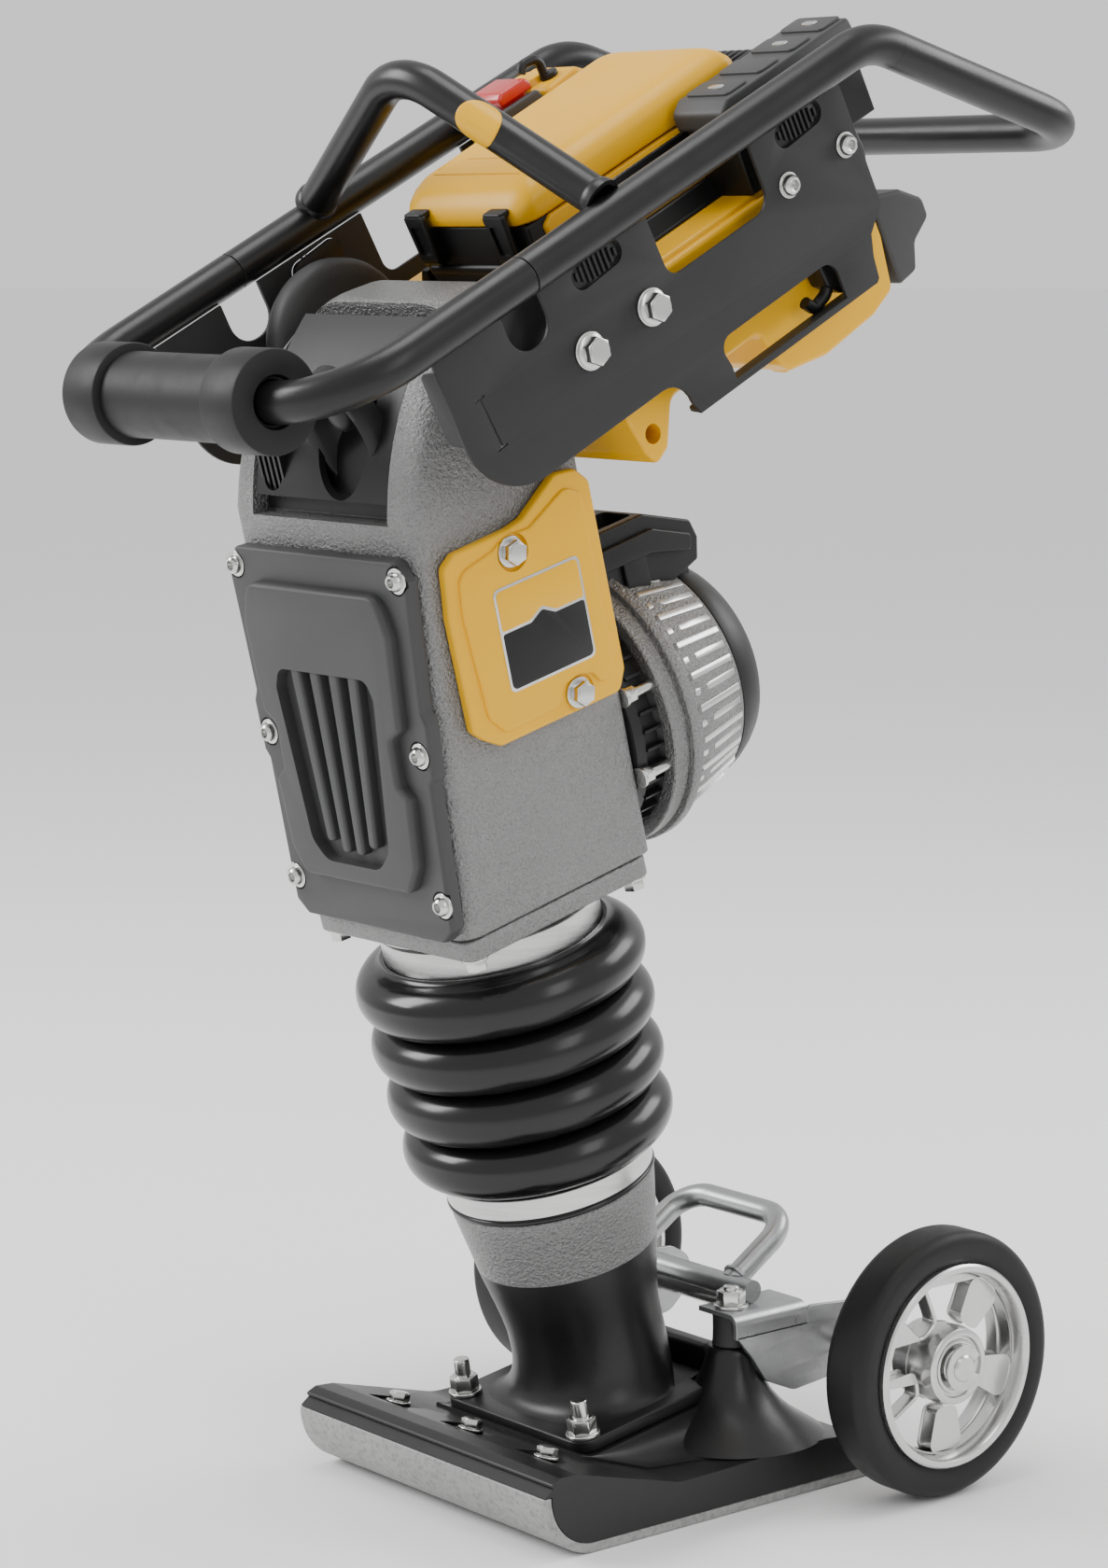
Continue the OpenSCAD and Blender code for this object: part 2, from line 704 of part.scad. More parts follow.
module front_roller() {
    color(black) in_rail() translate([0, roller_s, rail_t]) difference() {
        union() {
            rod_x(29, -80, 80);
            both_sides() rod_x(34.8, 62, 99.7);
        }
        rod_x(tube_r + fit_gap, -110, 110);
    }
}
module lifting_bail() {
    bar_r = 13.5;
    foot_x = rail_x - 9;
    rise = foot_x * tan(bail_slope);
    tangent = bail_r * tan(bail_slope);
    color(black) in_rail() translate([0, bail_s, rail_t + 13.3]) {
        both_sides() translate([0, 0, rise]) rotate([0, 90 + bail_slope, 0])
            translate([0, 0, tangent - 0.5])
            cylinder(r = bar_r - 0.1, h = foot_x / cos(bail_slope) - tangent + 0.5);
        translate([0, 0, rise - bail_r / cos(bail_slope)]) rotate([90, 0, 0])
            rotate([0, 0, 90 - bail_slope]) rotate_extrude(angle = 2 * bail_slope)
            translate([bail_r, 0]) circle(bar_r);
    }
}
module plate_outline() {
    top = rail_t - 13.1;
    difference() {
        polygon(concat([[131, top], [130, 812]], arc(181, 808, 51, 180, 270),
            [[290, 757]], arc(296, 737, 20, 90, 0, 5),
            [[318, 726], [509, 726], [511, 745], [517, 762], [529, 768]], arc(521, 785, 14, -45, 0, 4),
            [[535, top]]));
        polygon(concat([[194, 900], [194, 854]], arc(212, 854, 18, 180, 270, 6),
            arc(214, 852, 16, 270, 360, 6), [[230, 900]]));
        polygon(concat([[334, 900], [336, 832]], arc(347, 832, 11, 180, 270, 5),
            arc(426, 835, 14, 270, 360, 5), [[440, 900]]));
        polygon(concat([[359, 731]], [[359, 742]], arc(366, 752, 10, 200, 90, 6),
            arc(464, 750, 12, 90, 0, 5), [[476, 731]]));
        for (s = [264, 469]) polygon(concat(arc(s + 4, 859, 9, 90, 270), arc(s + 34, 861, 9, -90, 90)));
    }
}
module right_side_plate() {
    in_x = plate_x - plate_t;
    color(charcoal) in_rail() difference() {
        union() {
            translate([plate_x - plate_t / 2, 0, 0]) along_x(plate_t) plate_outline();
            block([in_x - 15, 318, 726], [in_x + 0.5, 509, 729]);
            block([in_x - 15, 130, 806], [in_x + 0.5, 133, 862]);
        }
        for (s = [pivot_s, bolt_s]) translate([0, s, pivot_t]) rod_x(8.2, 140, 170);
        screw_places() rod_x(5.2, 140, 170);
        translate([0, 156, 811]) rotate([4, 0, 0]) block([150, -1, -15], [170, 1, 15]);
    }
}
module left_side_plate() {
    mirror([1, 0, 0]) right_side_plate();
}
module screw_places() {
    for (s = [460.8, 521.4]) translate([0, s, 827]) children();
}
module plate_bolts() {
    color(zinc) in_rail() both_sides() {
        translate([0, bolt_s, pivot_t]) {
            rod_x(8, tub_x - 10, plate_x);
            translate([plate_x, 0, 0]) rotate([0, 90, 0]) hex_bolt(4, 1, 9.5, 6.5);
        }
        screw_places() {
            rod_x(5, plate_x - 8, plate_x);
            rod_x(9, plate_x, plate_x + 3);
            translate([plate_x + 3, 0, 0]) rod_x(6, 0, 3);
        }
    }
}
module power_unit() {
    color(yellow) in_rail() difference() {
        union() {
            along_x(2 * tub_x) polygon([[283, 790], [281, 740], [286, 712], [292, 700], [306, 707],
                [324, 735], [415, 735], [423, 706], [431, 697], [467, 690], [520, 693], [545, 701],
                [552, 740], [552, 790]]);
            block([-tub_x, 283, 790], [tub_x, 552, deck_t]);
        }
        block([4 - tub_x, 292, 742], [tub_x - 4, 546, deck_t - 5]);
        translate([0, bolt_s, pivot_t]) both_sides() rod_x(8.2, tub_x - 12, tub_x + 2);
    }
}
module rear_vent() {
    color(black) in_rail() difference() {
        block([-110, 540, deck_t], [110, 590, 876]);
        for (i = [0:11]) block([-104 + 17.5 * i, 530, 872], [-96 + 17.5 * i, 600, 880]);
    }
}
module rear_bumper() {
    color(charcoal) in_rail() along_x(2 * tub_x) polygon([[552.3, 700], [572, 702], [579, 721],
        [598, 731], [598, 746], [581, 762], [552.3, 770]]);
}
module battery() {
    color(yellow) in_rail() difference() {
        union() {
            block([-70, 312, deck_t], [70, 530, 874]);
            along_x(136) polygon([[306, 874], [304, 884], [316, 893], [350, 904], [520, 905],
                [534, 896], [536, 874]]);
        }
        block([-64, 318, deck_t + 6], [64, 524, 870]);
    }
}
module latch(side) {
    color(black) in_rail() translate([44 * side, 0, 0]) {
        block([-9, 299, 852], [9, 303.5, 886]);
        translate([0, 305, 852]) rod_x(5, -9, 9);
    }
}
module left_latch() {
    latch(-1);
}
module right_latch() {
    latch(1);
}
module switch_box() {
    color(yellow) in_rail() difference() {
        union() {
            block([-146, 426, deck_t], [-96, 530, 890]);
        }
        block([-138, 452, 880], [-104, 486, 900]);
    }
}
module stop_button() {
    color("red") in_rail() block([-137, 453, 884.5], [-105, 485, 906]);
}

wear_plate();
shoe_block();
toe_bolts();
foot_casting();
foot_studs();
leg_cylinder();
leg_seal_ring();
lower_collar();
bellows();
lower_spring();
upper_spring();
rear_buffers();
left_wheel_bracket();
right_wheel_bracket();
bracket_nuts();
grab_handle();
wheel_axle();
left_tyre();
right_tyre();
left_rim();
right_rim();
guide_flange();
guide_bush();
piston_rod();
crankcase();
flange_bolts();
front_cover();
cover_screws();
left_side_cover();
right_side_cover();
side_cover_bolts();
hood_panel();
crank_gear();
connecting_rod();
crank_bearings();
motor_rotor();
motor_stator();
motor_adapter();
motor_barrel();
motor_cap();
connector_box();
shock_mounts();
pivot_bolts();
left_rail();
right_rail();
rear_crossbar();
front_loop();
lifting_bail();
front_roller();
left_side_plate();
right_side_plate();
plate_bolts();
power_unit();
rear_vent();
rear_bumper();
battery();
left_latch();
right_latch();
switch_box();
stop_button();
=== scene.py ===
import math

import bmesh
import bpy
from mathutils import Matrix, Vector


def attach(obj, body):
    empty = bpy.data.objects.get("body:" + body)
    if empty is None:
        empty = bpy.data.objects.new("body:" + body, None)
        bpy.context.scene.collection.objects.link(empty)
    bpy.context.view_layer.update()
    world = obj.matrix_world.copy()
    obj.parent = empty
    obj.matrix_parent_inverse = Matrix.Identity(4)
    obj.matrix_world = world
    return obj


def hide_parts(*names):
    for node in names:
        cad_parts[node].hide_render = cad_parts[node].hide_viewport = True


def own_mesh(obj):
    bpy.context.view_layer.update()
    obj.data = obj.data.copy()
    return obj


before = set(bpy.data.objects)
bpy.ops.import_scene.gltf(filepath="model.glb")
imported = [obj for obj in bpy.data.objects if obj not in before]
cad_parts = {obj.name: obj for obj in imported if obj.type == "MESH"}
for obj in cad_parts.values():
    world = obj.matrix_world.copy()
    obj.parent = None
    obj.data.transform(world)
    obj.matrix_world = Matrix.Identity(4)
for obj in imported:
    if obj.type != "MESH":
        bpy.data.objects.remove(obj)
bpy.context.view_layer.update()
print("frame loaded")

toMetres = Matrix.Scale(0.001, 4)  # pieces are drawn in millimetres
legTilt = math.radians(16)
railTilt = math.radians(27.6)
worldPlace = toMetres
legPlace = toMetres @ Matrix.Translation((0, 9.5, 0)) @ Matrix.Rotation(legTilt, 4, "X")
railPlace = toMetres @ Matrix.Rotation(railTilt, 4, "X")
deckPlace = toMetres @ Matrix.Translation((0, -93.5, 43.8)) @ Matrix.Rotation(math.radians(9.6), 4, "X")
mirrorX = Matrix.Scale(-1, 4, (1, 0, 0))
pivotSpot = (251, 812.5)  # centre of the handle mounts, along and above the rails


# Finishes, one node material for each
def addNode(tree, kind, **values):
    node = tree.nodes.new(kind)
    for key, value in values.items():
        setattr(node, key, value)
    return node


def noiseAt(tree, coords, scale, detail=3.0, roughness=0.5, stretch=None, turn=0.0):
    noise = addNode(tree, "ShaderNodeTexNoise")
    noise.inputs["Scale"].default_value = scale
    noise.inputs["Detail"].default_value = detail
    noise.inputs["Roughness"].default_value = roughness
    source = coords
    if stretch:
        mapping = addNode(tree, "ShaderNodeMapping")
        mapping.inputs["Rotation"].default_value = (turn, 0, 0)
        mapping.inputs["Scale"].default_value = stretch
        tree.links.new(coords, mapping.inputs["Vector"])
        source = mapping.outputs["Vector"]
    tree.links.new(source, noise.inputs["Vector"])
    return noise.outputs["Fac"]


def ranged(tree, value, low, high, fromLow=0.3, fromHigh=0.7):
    node = addNode(tree, "ShaderNodeMapRange")
    node.inputs["From Min"].default_value = fromLow
    node.inputs["From Max"].default_value = fromHigh
    node.inputs["To Min"].default_value = low
    node.inputs["To Max"].default_value = high
    tree.links.new(value, node.inputs["Value"])
    return node.outputs["Result"]


def makeFinish(name, look):
    material = bpy.data.materials.new(name)
    material.use_nodes = True
    tree = material.node_tree
    shader = tree.nodes["Principled BSDF"]
    coords = addNode(tree, "ShaderNodeTexCoord").outputs["Object"]
    stretch = look.get("stretch")
    turn = look.get("turn", 0.0)
    shader.inputs["Metallic"].default_value = look.get("metallic", 0.0)
    shader.inputs["Coat Weight"].default_value = look.get("coat", 0.0)
    shader.inputs["Coat Roughness"].default_value = look.get("coatRough", 0.2)
    shader.inputs["Specular IOR Level"].default_value = look.get("specular", 0.5)
    cloud = noiseAt(tree, coords, look.get("cloudScale", 14), 4.0, 0.6, stretch, turn)
    fine = noiseAt(tree, coords, look.get("fineScale", 500), 2.0, 0.5, stretch, turn)
    blend = addNode(tree, "ShaderNodeMix", data_type="RGBA")
    blend.inputs["A"].default_value = (*look["colour"], 1)
    blend.inputs["B"].default_value = (*look["worn"], 1)
    tree.links.new(ranged(tree, cloud, 0, look.get("cloud", 0.5)), blend.inputs["Factor"])
    speck = addNode(tree, "ShaderNodeMix", data_type="RGBA")
    speck.inputs["B"].default_value = (*look.get("speck", look["worn"]), 1)
    tree.links.new(blend.outputs["Result"], speck.inputs["A"])
    tree.links.new(ranged(tree, fine, 0, look.get("speckle", 0.3), 0.45, 0.75), speck.inputs["Factor"])
    tree.links.new(speck.outputs["Result"], shader.inputs["Base Color"])
    rough = look["rough"]
    spread = look.get("roughSpread", 0.06)
    tree.links.new(ranged(tree, cloud, rough - spread, rough + spread), shader.inputs["Roughness"])
    normal = None
    for scale, depth, detail in look.get("bumps", ()):
        bump = addNode(tree, "ShaderNodeBump")
        bump.inputs["Strength"].default_value = look.get("bumpStrength", 0.6)
        bump.inputs["Distance"].default_value = depth
        tree.links.new(noiseAt(tree, coords, scale, detail, 0.6, stretch, turn), bump.inputs["Height"])
        if normal:
            tree.links.new(normal, bump.inputs["Normal"])
        normal = bump.outputs["Normal"]
    if normal:
        tree.links.new(normal, shader.inputs["Normal"])
    return material


looks = {
    "castAlloy": dict(
        slot="cast_alloy", colour=(0.22, 0.22, 0.218), worn=(0.27, 0.27, 0.267),
        speck=(0.11, 0.11, 0.11), speckle=0.55, metallic=0.6, rough=0.36, fineScale=620,
        bumpStrength=1.0, bumps=((430, 0.0022, 2), (1300, 0.0005, 1))),
    "turnedAlloy": dict(
        slot="turned_alloy", colour=(0.62, 0.62, 0.61), worn=(0.50, 0.50, 0.50), metallic=1.0,
        rough=0.24, stretch=(1, 1, 22), turn=-legTilt, cloudScale=12, fineScale=60,
        bumps=((40, 0.00006, 3),)),
    "machinedAlloy": dict(
        slot="cast_alloy", colour=(0.66, 0.66, 0.65), worn=(0.56, 0.56, 0.56), metallic=0.95,
        rough=0.27, fineScale=300, bumps=((260, 0.00005, 3),)),
    "shoeSteel": dict(
        slot="shoe_steel", colour=(0.36, 0.36, 0.355), worn=(0.26, 0.26, 0.255),
        speck=(0.1, 0.1, 0.1), speckle=0.5, metallic=0.45, rough=0.55, fineScale=260,
        bumps=((180, 0.0006, 5), (60, 0.0006, 2))),
    "blackCasting": dict(
        slot="black_casting", colour=(0.0045, 0.0045, 0.0047), worn=(0.007, 0.007, 0.0072),
        rough=0.38, specular=0.35, speckle=0.2, fineScale=700, coat=0.15, coatRough=0.3,
        bumps=((520, 0.00012, 2), (60, 0.0003, 2))),
    "zinc": dict(
        slot="zinc", colour=(0.66, 0.66, 0.65), worn=(0.52, 0.52, 0.50), metallic=1.0, rough=0.22,
        cloudScale=120, fineScale=900, bumps=((600, 0.00004, 2),)),
    "galvanised": dict(
        slot="galvanised", colour=(0.42, 0.425, 0.43), worn=(0.31, 0.315, 0.32), metallic=0.9,
        rough=0.33, cloudScale=55, speckle=0.35, fineScale=380, bumps=((300, 0.00008, 3),)),
    "bellowsRubber": dict(
        slot="bellows_rubber", colour=(0.0035, 0.0035, 0.0036), worn=(0.0055, 0.0055, 0.0056),
        rough=0.22, specular=0.45, roughSpread=0.05, speckle=0.2, fineScale=900,
        bumps=((25, 0.0006, 2), (700, 0.00004, 2))),
    "mountRubber": dict(
        slot="mount_rubber", colour=(0.018, 0.018, 0.018), worn=(0.028, 0.028, 0.028), rough=0.55,
        fineScale=800, bumps=((700, 0.0001, 2),)),
    "tyreRubber": dict(
        slot="tyre", colour=(0.007, 0.007, 0.0072), worn=(0.011, 0.011, 0.0112), rough=0.5,
        specular=0.3, cloudScale=40, fineScale=900, bumps=((600, 0.0001, 3), (30, 0.0002, 2))),
    "greyPlastic": dict(
        slot="grey_plastic", colour=(0.042, 0.042, 0.043), worn=(0.05, 0.05, 0.051), rough=0.48,
        specular=0.35, speckle=0.3, fineScale=900, bumps=((900, 0.00012, 2), (350, 0.00006, 2))),
    "blackPlastic": dict(
        slot="black_plastic", colour=(0.0055, 0.0055, 0.0057), worn=(0.009, 0.009, 0.0092),
        rough=0.42, specular=0.35, speckle=0.3, fineScale=900, bumps=((800, 0.00014, 2),)),
    "yellowPlastic": dict(
        slot="yellow_plastic", colour=(0.79, 0.41, 0.0), worn=(0.74, 0.38, 0.0), rough=0.36,
        specular=0.3, cloud=0.4, speckle=0.25, fineScale=900,
        bumps=((1000, 0.00007, 2), (200, 0.00004, 2))),
    "tubeBlack": dict(
        slot="tube_black", colour=(0.004, 0.004, 0.0042), worn=(0.0065, 0.0065, 0.0066), rough=0.33,
        specular=0.4, speckle=0.25, fineScale=700, bumps=((650, 0.00009, 2), (120, 0.00006, 2))),
    "plateGrey": dict(
        slot="plate_grey", colour=(0.02, 0.02, 0.0206), worn=(0.026, 0.026, 0.0266), rough=0.5,
        specular=0.3, speckle=0.4, fineScale=1000, bumps=((900, 0.00013, 2),)),
    "redPlastic": dict(
        slot="red_plastic", colour=(0.52, 0.012, 0.012), worn=(0.44, 0.01, 0.01), rough=0.3,
        coat=0.3, fineScale=600, bumps=((700, 0.00005, 2),)),
    "springSteel": dict(
        slot="spring_steel", colour=(0.30, 0.31, 0.33), worn=(0.22, 0.22, 0.24), metallic=1.0,
        rough=0.3, bumps=((200, 0.0001, 3),)),
    "bronze": dict(
        slot="bronze", colour=(0.45, 0.28, 0.10), worn=(0.36, 0.22, 0.08), metallic=1.0, rough=0.3,
        bumps=((300, 0.00006, 2),)),
    "copper": dict(
        slot="copper", colour=(0.50, 0.20, 0.08), worn=(0.38, 0.15, 0.06), metallic=0.9, rough=0.35,
        bumps=((160, 0.0003, 3),)),
}
finishes = {name: makeFinish(name, look) for name, look in looks.items()}
print("finishes made")


# Shape tools that every piece uses
def arcPoints(cx, cy, r, a0, a1, n=8):
    steps = [math.radians(a0 + (a1 - a0) * i / n) for i in range(n + 1)]
    return [(cx + r * math.cos(a), cy + r * math.sin(a)) for a in steps]


# Corners given as (x, y, radius); a radius of 0 stays sharp
def rounded(corners, n=6):
    out = []
    for i, (x, y, r) in enumerate(corners):
        here = Vector((x, y))
        if r <= 0:
            out.append((x, y))
            continue
        before = Vector(corners[i - 1][:2]) - here
        after = Vector(corners[(i + 1) % len(corners)][:2]) - here
        a, b = before.normalized(), after.normalized()
        half = max(a.angle(b) / 2, 0.05)
        reach = min(r / math.tan(half), before.length * 0.499, after.length * 0.499)
        r = reach * math.tan(half)
        middle = here + (a + b).normalized() * (r / math.sin(half))
        p, q = here + a * reach - middle, here + b * reach - middle
        turn = p.angle_signed(q)
        for k in range(n + 1):
            s = Matrix.Rotation(-turn * k / n, 2) @ p
            out.append(tuple(middle + s))
    return out


def boxCorners(x0, y0, x1, y1, r):
    return [(x0, y0, r), (x1, y0, r), (x1, y1, r), (x0, y1, r)]


def boxOutline(x0, y0, x1, y1):
    return [(x0, y0), (x1, y0), (x1, y1), (x0, y1)]


axisMaps = {  # drawn (a, b) and depth c to x, y, z
    "x": lambda a, b, c: (c, a, b),
    "y": lambda a, b, c: (a, c, b),
    "z": lambda a, b, c: (a, b, c),
}


# A part made on its own, placed and joined in
def merge(bm, part, place=Matrix.Identity(4)):
    bmesh.ops.remove_doubles(part, verts=part.verts, dist=0.005)
    bmesh.ops.recalc_face_normals(part, faces=part.faces)
    bmesh.ops.transform(part, matrix=place, verts=part.verts)
    if place.determinant() < 0:
        bmesh.ops.reverse_faces(part, faces=part.faces)
    mesh = bpy.data.meshes.new("part")
    part.to_mesh(mesh)
    part.free()
    bm.from_mesh(mesh)
    bpy.data.meshes.remove(mesh)


# Outline extruded along an axis between two depths, with its rims softened
def slab(bm, points, axis, low, high, chamfer=0.0, segments=2, place=Matrix.Identity(4)):
    put = axisMaps[axis]
    part = bmesh.new()
    face = part.faces.new([part.verts.new(put(a, b, low)) for a, b in points])
    rims = list(face.edges)
    grown = bmesh.ops.extrude_face_region(part, geom=[face])
    far = [v for v in grown["geom"] if isinstance(v, bmesh.types.BMVert)]
    rims += [e for e in grown["geom"] if isinstance(e, bmesh.types.BMEdge)]
    bmesh.ops.translate(part, verts=far, vec=put(0, 0, high - low))
    if chamfer:
        bmesh.ops.bevel(part, geom=rims, offset=chamfer, segments=segments, profile=0.5,
                        affect="EDGES", material=-1, clamp_overlap=True)
    merge(bm, part, place)


# Profile of (radius, height) spun about Z, then placed
def lathe(bm, profile, place=Matrix.Identity(4), steps=72, closed=False):
    part = bmesh.new()
    verts = [part.verts.new((r, 0, h)) for r, h in profile]
    edges = [part.edges.new(p) for p in zip(verts, verts[1:])]
    if closed:
        edges.append(part.edges.new((verts[-1], verts[0])))
    bmesh.ops.spin(part, geom=verts + edges, axis=(0, 0, 1), cent=(0, 0, 0), angle=math.tau,
                   steps=steps, use_merge=True)
    merge(bm, part, place)


# Stack of rings with the same count of points, joined by extruding
def loft(bm, rings, place=Matrix.Identity(4), closeLow=True, closeHigh=True):
    part = bmesh.new()
    ring = bmesh.ops.create_circle(part, segments=len(rings[0]), radius=1)["verts"]
    if closeLow:
        part.faces.new(ring)
    for v, p in zip(ring, rings[0]):
        v.co = p
    for spots in rings[1:]:
        edges = [part.edges.get((a, b)) for a, b in zip(ring, ring[1:] + ring[:1])]
        grown = bmesh.ops.extrude_edge_only(part, edges=edges)["geom"]
        fresh = {g for g in grown if isinstance(g, bmesh.types.BMVert)}
        ring = [next(e.other_vert(v) for e in v.link_edges if e.other_vert(v) in fresh) for v in ring]
        for v, p in zip(ring, spots):
            v.co = p
    if closeHigh:
        part.faces.new(ring)
    merge(bm, part, place)


def alongX(x=0.0, y=0.0, z=0.0):
    return Matrix.Translation((x, y, z)) @ Matrix.Rotation(math.pi / 2, 4, "Y")


def alongY(x=0.0, y=0.0, z=0.0):
    return Matrix.Translation((x, y, z)) @ Matrix.Rotation(-math.pi / 2, 4, "X")


def facingFront(x, y, z):
    return Matrix.Translation((x, y, z)) @ Matrix.Rotation(math.pi / 2, 4, "X")


def outFrom(side, x, y, z):  # away from the middle, on the right for side 1
    return Matrix.Translation((side * x, y, z)) @ Matrix.Rotation(side * math.pi / 2, 4, "Y")


def circlePoints(x, y, r, n):
    return [(x + r * math.cos(math.tau * k / n), y + r * math.sin(math.tau * k / n)) for k in range(n)]


# A round disc or post with a rounded rim, from low to high
def post(bm, r, low, high, rim=1.0, place=Matrix.Identity(4), steps=40, hole=0.0):
    top = arcPoints(r - rim, high - rim, rim, 0, 90, 3)
    foot = arcPoints(r - rim, low + rim, rim, -90, 0, 3)
    inner = [(hole, high), (hole, low)] if hole else [(0, high), (0, low)]
    lathe(bm, foot + top + inner, place, steps, closed=True)


def hexPost(bm, r, low, high, place=Matrix.Identity(4), turn=0.0):
    part = bmesh.new()
    made = bmesh.ops.create_circle(part, cap_ends=True, segments=6, radius=r)
    bmesh.ops.rotate(part, verts=made["verts"], matrix=Matrix.Rotation(turn, 3, "Z"))
    grown = bmesh.ops.extrude_face_region(part, geom=list(part.faces))
    far = [v for v in grown["geom"] if isinstance(v, bmesh.types.BMVert)]
    bmesh.ops.translate(part, verts=far, vec=(0, 0, high - low))
    bmesh.ops.bevel(part, geom=list(part.edges), offset=r * 0.07, segments=2, profile=0.5,
                    affect="EDGES", material=-1)
    bmesh.ops.translate(part, verts=part.verts, vec=(0, 0, low))
    merge(bm, part, place)


# Path through corner points, each (x, y, z, radius)
def bentPath(corners, step=math.radians(6)):
    points = []
    last = len(corners) - 1
    for i, (x, y, z, r) in enumerate(corners):
        here = Vector((x, y, z))
        if i in (0, last) or r <= 0:
            points.append(here)
            continue
        a = (Vector(corners[i - 1][:3]) - here).normalized()
        b = (Vector(corners[i + 1][:3]) - here).normalized()
        half = a.angle(b) / 2
        middle = here + (a + b).normalized() * (r / math.sin(half))
        start = here + a * (r / math.tan(half)) - middle
        sweep = math.pi - 2 * half
        axis = a.cross(b)
        n = max(3, int(sweep / step))
        for k in range(n + 1):
            points.append(middle + Matrix.Rotation(-sweep * k / n, 3, axis) @ start)
    return points


# The mesh that a curve makes, after which the curve goes
def curveMesh(curve):
    holder = bpy.data.objects.new(curve.name, curve)
    bpy.context.scene.collection.objects.link(holder)
    bpy.context.view_layer.update()
    graph = bpy.context.evaluated_depsgraph_get()
    mesh = bpy.data.meshes.new_from_object(holder.evaluated_get(graph))
    part = bmesh.new()
    part.from_mesh(mesh)
    bpy.data.objects.remove(holder)
    bpy.data.curves.remove(curve)
    bpy.data.meshes.remove(mesh)
    return part


# Round tube along a path
def tube(bm, points, r, sides=28, place=Matrix.Identity(4)):
    line = bpy.data.curves.new("line", "CURVE")
    line.dimensions = "3D"
    spline = line.splines.new("POLY")
    spline.points.add(len(points) - 1)
    for spot, p in zip(spline.points, points):
        spot.co = (*p, 1)
    line.bevel_depth = r
    line.bevel_resolution = sides // 4 - 1
    line.use_fill_caps = True
    merge(bm, curveMesh(line), place)


# Flat sheet with holes and a softened edge, drawn in its own plane and laid along an axis
def sheetMetal(bm, outlines, axis, low, high, edge=0.6, segments=2, place=Matrix.Identity(4)):
    flat = bpy.data.curves.new("flat", "CURVE")
    flat.dimensions = "2D"
    flat.fill_mode = "BOTH"
    for points in outlines:
        spline = flat.splines.new("POLY")
        spline.points.add(len(points) - 1)
        for spot, p in zip(spline.points, points):
            spot.co = (*p, 0, 1)
        spline.use_cyclic_u = True
    flat.extrude = (high - low) / 2 - edge
    flat.bevel_depth = edge
    flat.bevel_resolution = segments
    flat.offset = -edge
    middle = (high + low) / 2
    turn = {"x": Matrix(((0, 0, 1, middle), (1, 0, 0, 0), (0, 1, 0, 0), (0, 0, 0, 1))),
            "y": Matrix(((1, 0, 0, 0), (0, 0, -1, middle), (0, 1, 0, 0), (0, 0, 0, 1))),
            "z": Matrix.Translation((0, 0, middle))}[axis]
    merge(bm, curveMesh(flat), place @ turn)


# Takes a shape away from an object
def cutWith(obj, bm):
    cutter = rawObject("cutter", bm)
    step = obj.modifiers.new("cut", "BOOLEAN")
    step.operation = "DIFFERENCE"
    step.solver = "EXACT"
    step.use_self = True
    step.object = cutter
    bpy.context.view_layer.update()
    graph = bpy.context.evaluated_depsgraph_get()
    mesh = bpy.data.meshes.new_from_object(obj.evaluated_get(graph))
    obj.modifiers.clear()
    obj.data = mesh
    bpy.data.objects.remove(cutter)


def rawObject(name, bm, place=Matrix.Identity(4), normals=True):
    if normals:
        bmesh.ops.recalc_face_normals(bm, faces=bm.faces)
    mesh = bpy.data.meshes.new(name)
    bm.to_mesh(mesh)
    bm.free()
    mesh.transform(place)
    if place.determinant() < 0:
        mesh.flip_normals()
    obj = bpy.data.objects.new(name, mesh)
    bpy.context.scene.collection.objects.link(obj)
    return obj


bevelFrom = math.radians(32)  # corners flatter than this stay unbevelled


# Material, shading, body and the nodes it stands for; edge is its bevel in millimetres
def dress(obj, finish, body, nodes=(), edge=0.0, smooth=38):
    mesh = obj.data
    mesh.materials.clear()
    mesh.materials.append(finishes[finish])
    mesh.shade_smooth()
    mesh.set_sharp_from_angle(angle=math.radians(smooth))
    if edge:
        bevel = obj.modifiers.new("edge", "BEVEL")
        bevel.width = edge * 0.001
        bevel.segments = 3
        bevel.limit_method = "ANGLE"
        bevel.angle_limit = bevelFrom
        bevel.use_clamp_overlap = True
        bevel.harden_normals = True
    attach(obj, body)
    if nodes:
        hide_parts(*nodes)
    return obj


def piece(name, bm, place, finish, body, nodes=(), edge=0.0, smooth=38):
    return dress(rawObject(name, bm, place), finish, body, nodes, edge, smooth)


shoeSize = dict(half=143, toe=-181, heel=160, toeR=47, heelR=30, plate=7, deckHalf=84, seatLow=-97,
                earX=80, earY=50, earTop=101.5, toeBoltX=86, footStudX=68)


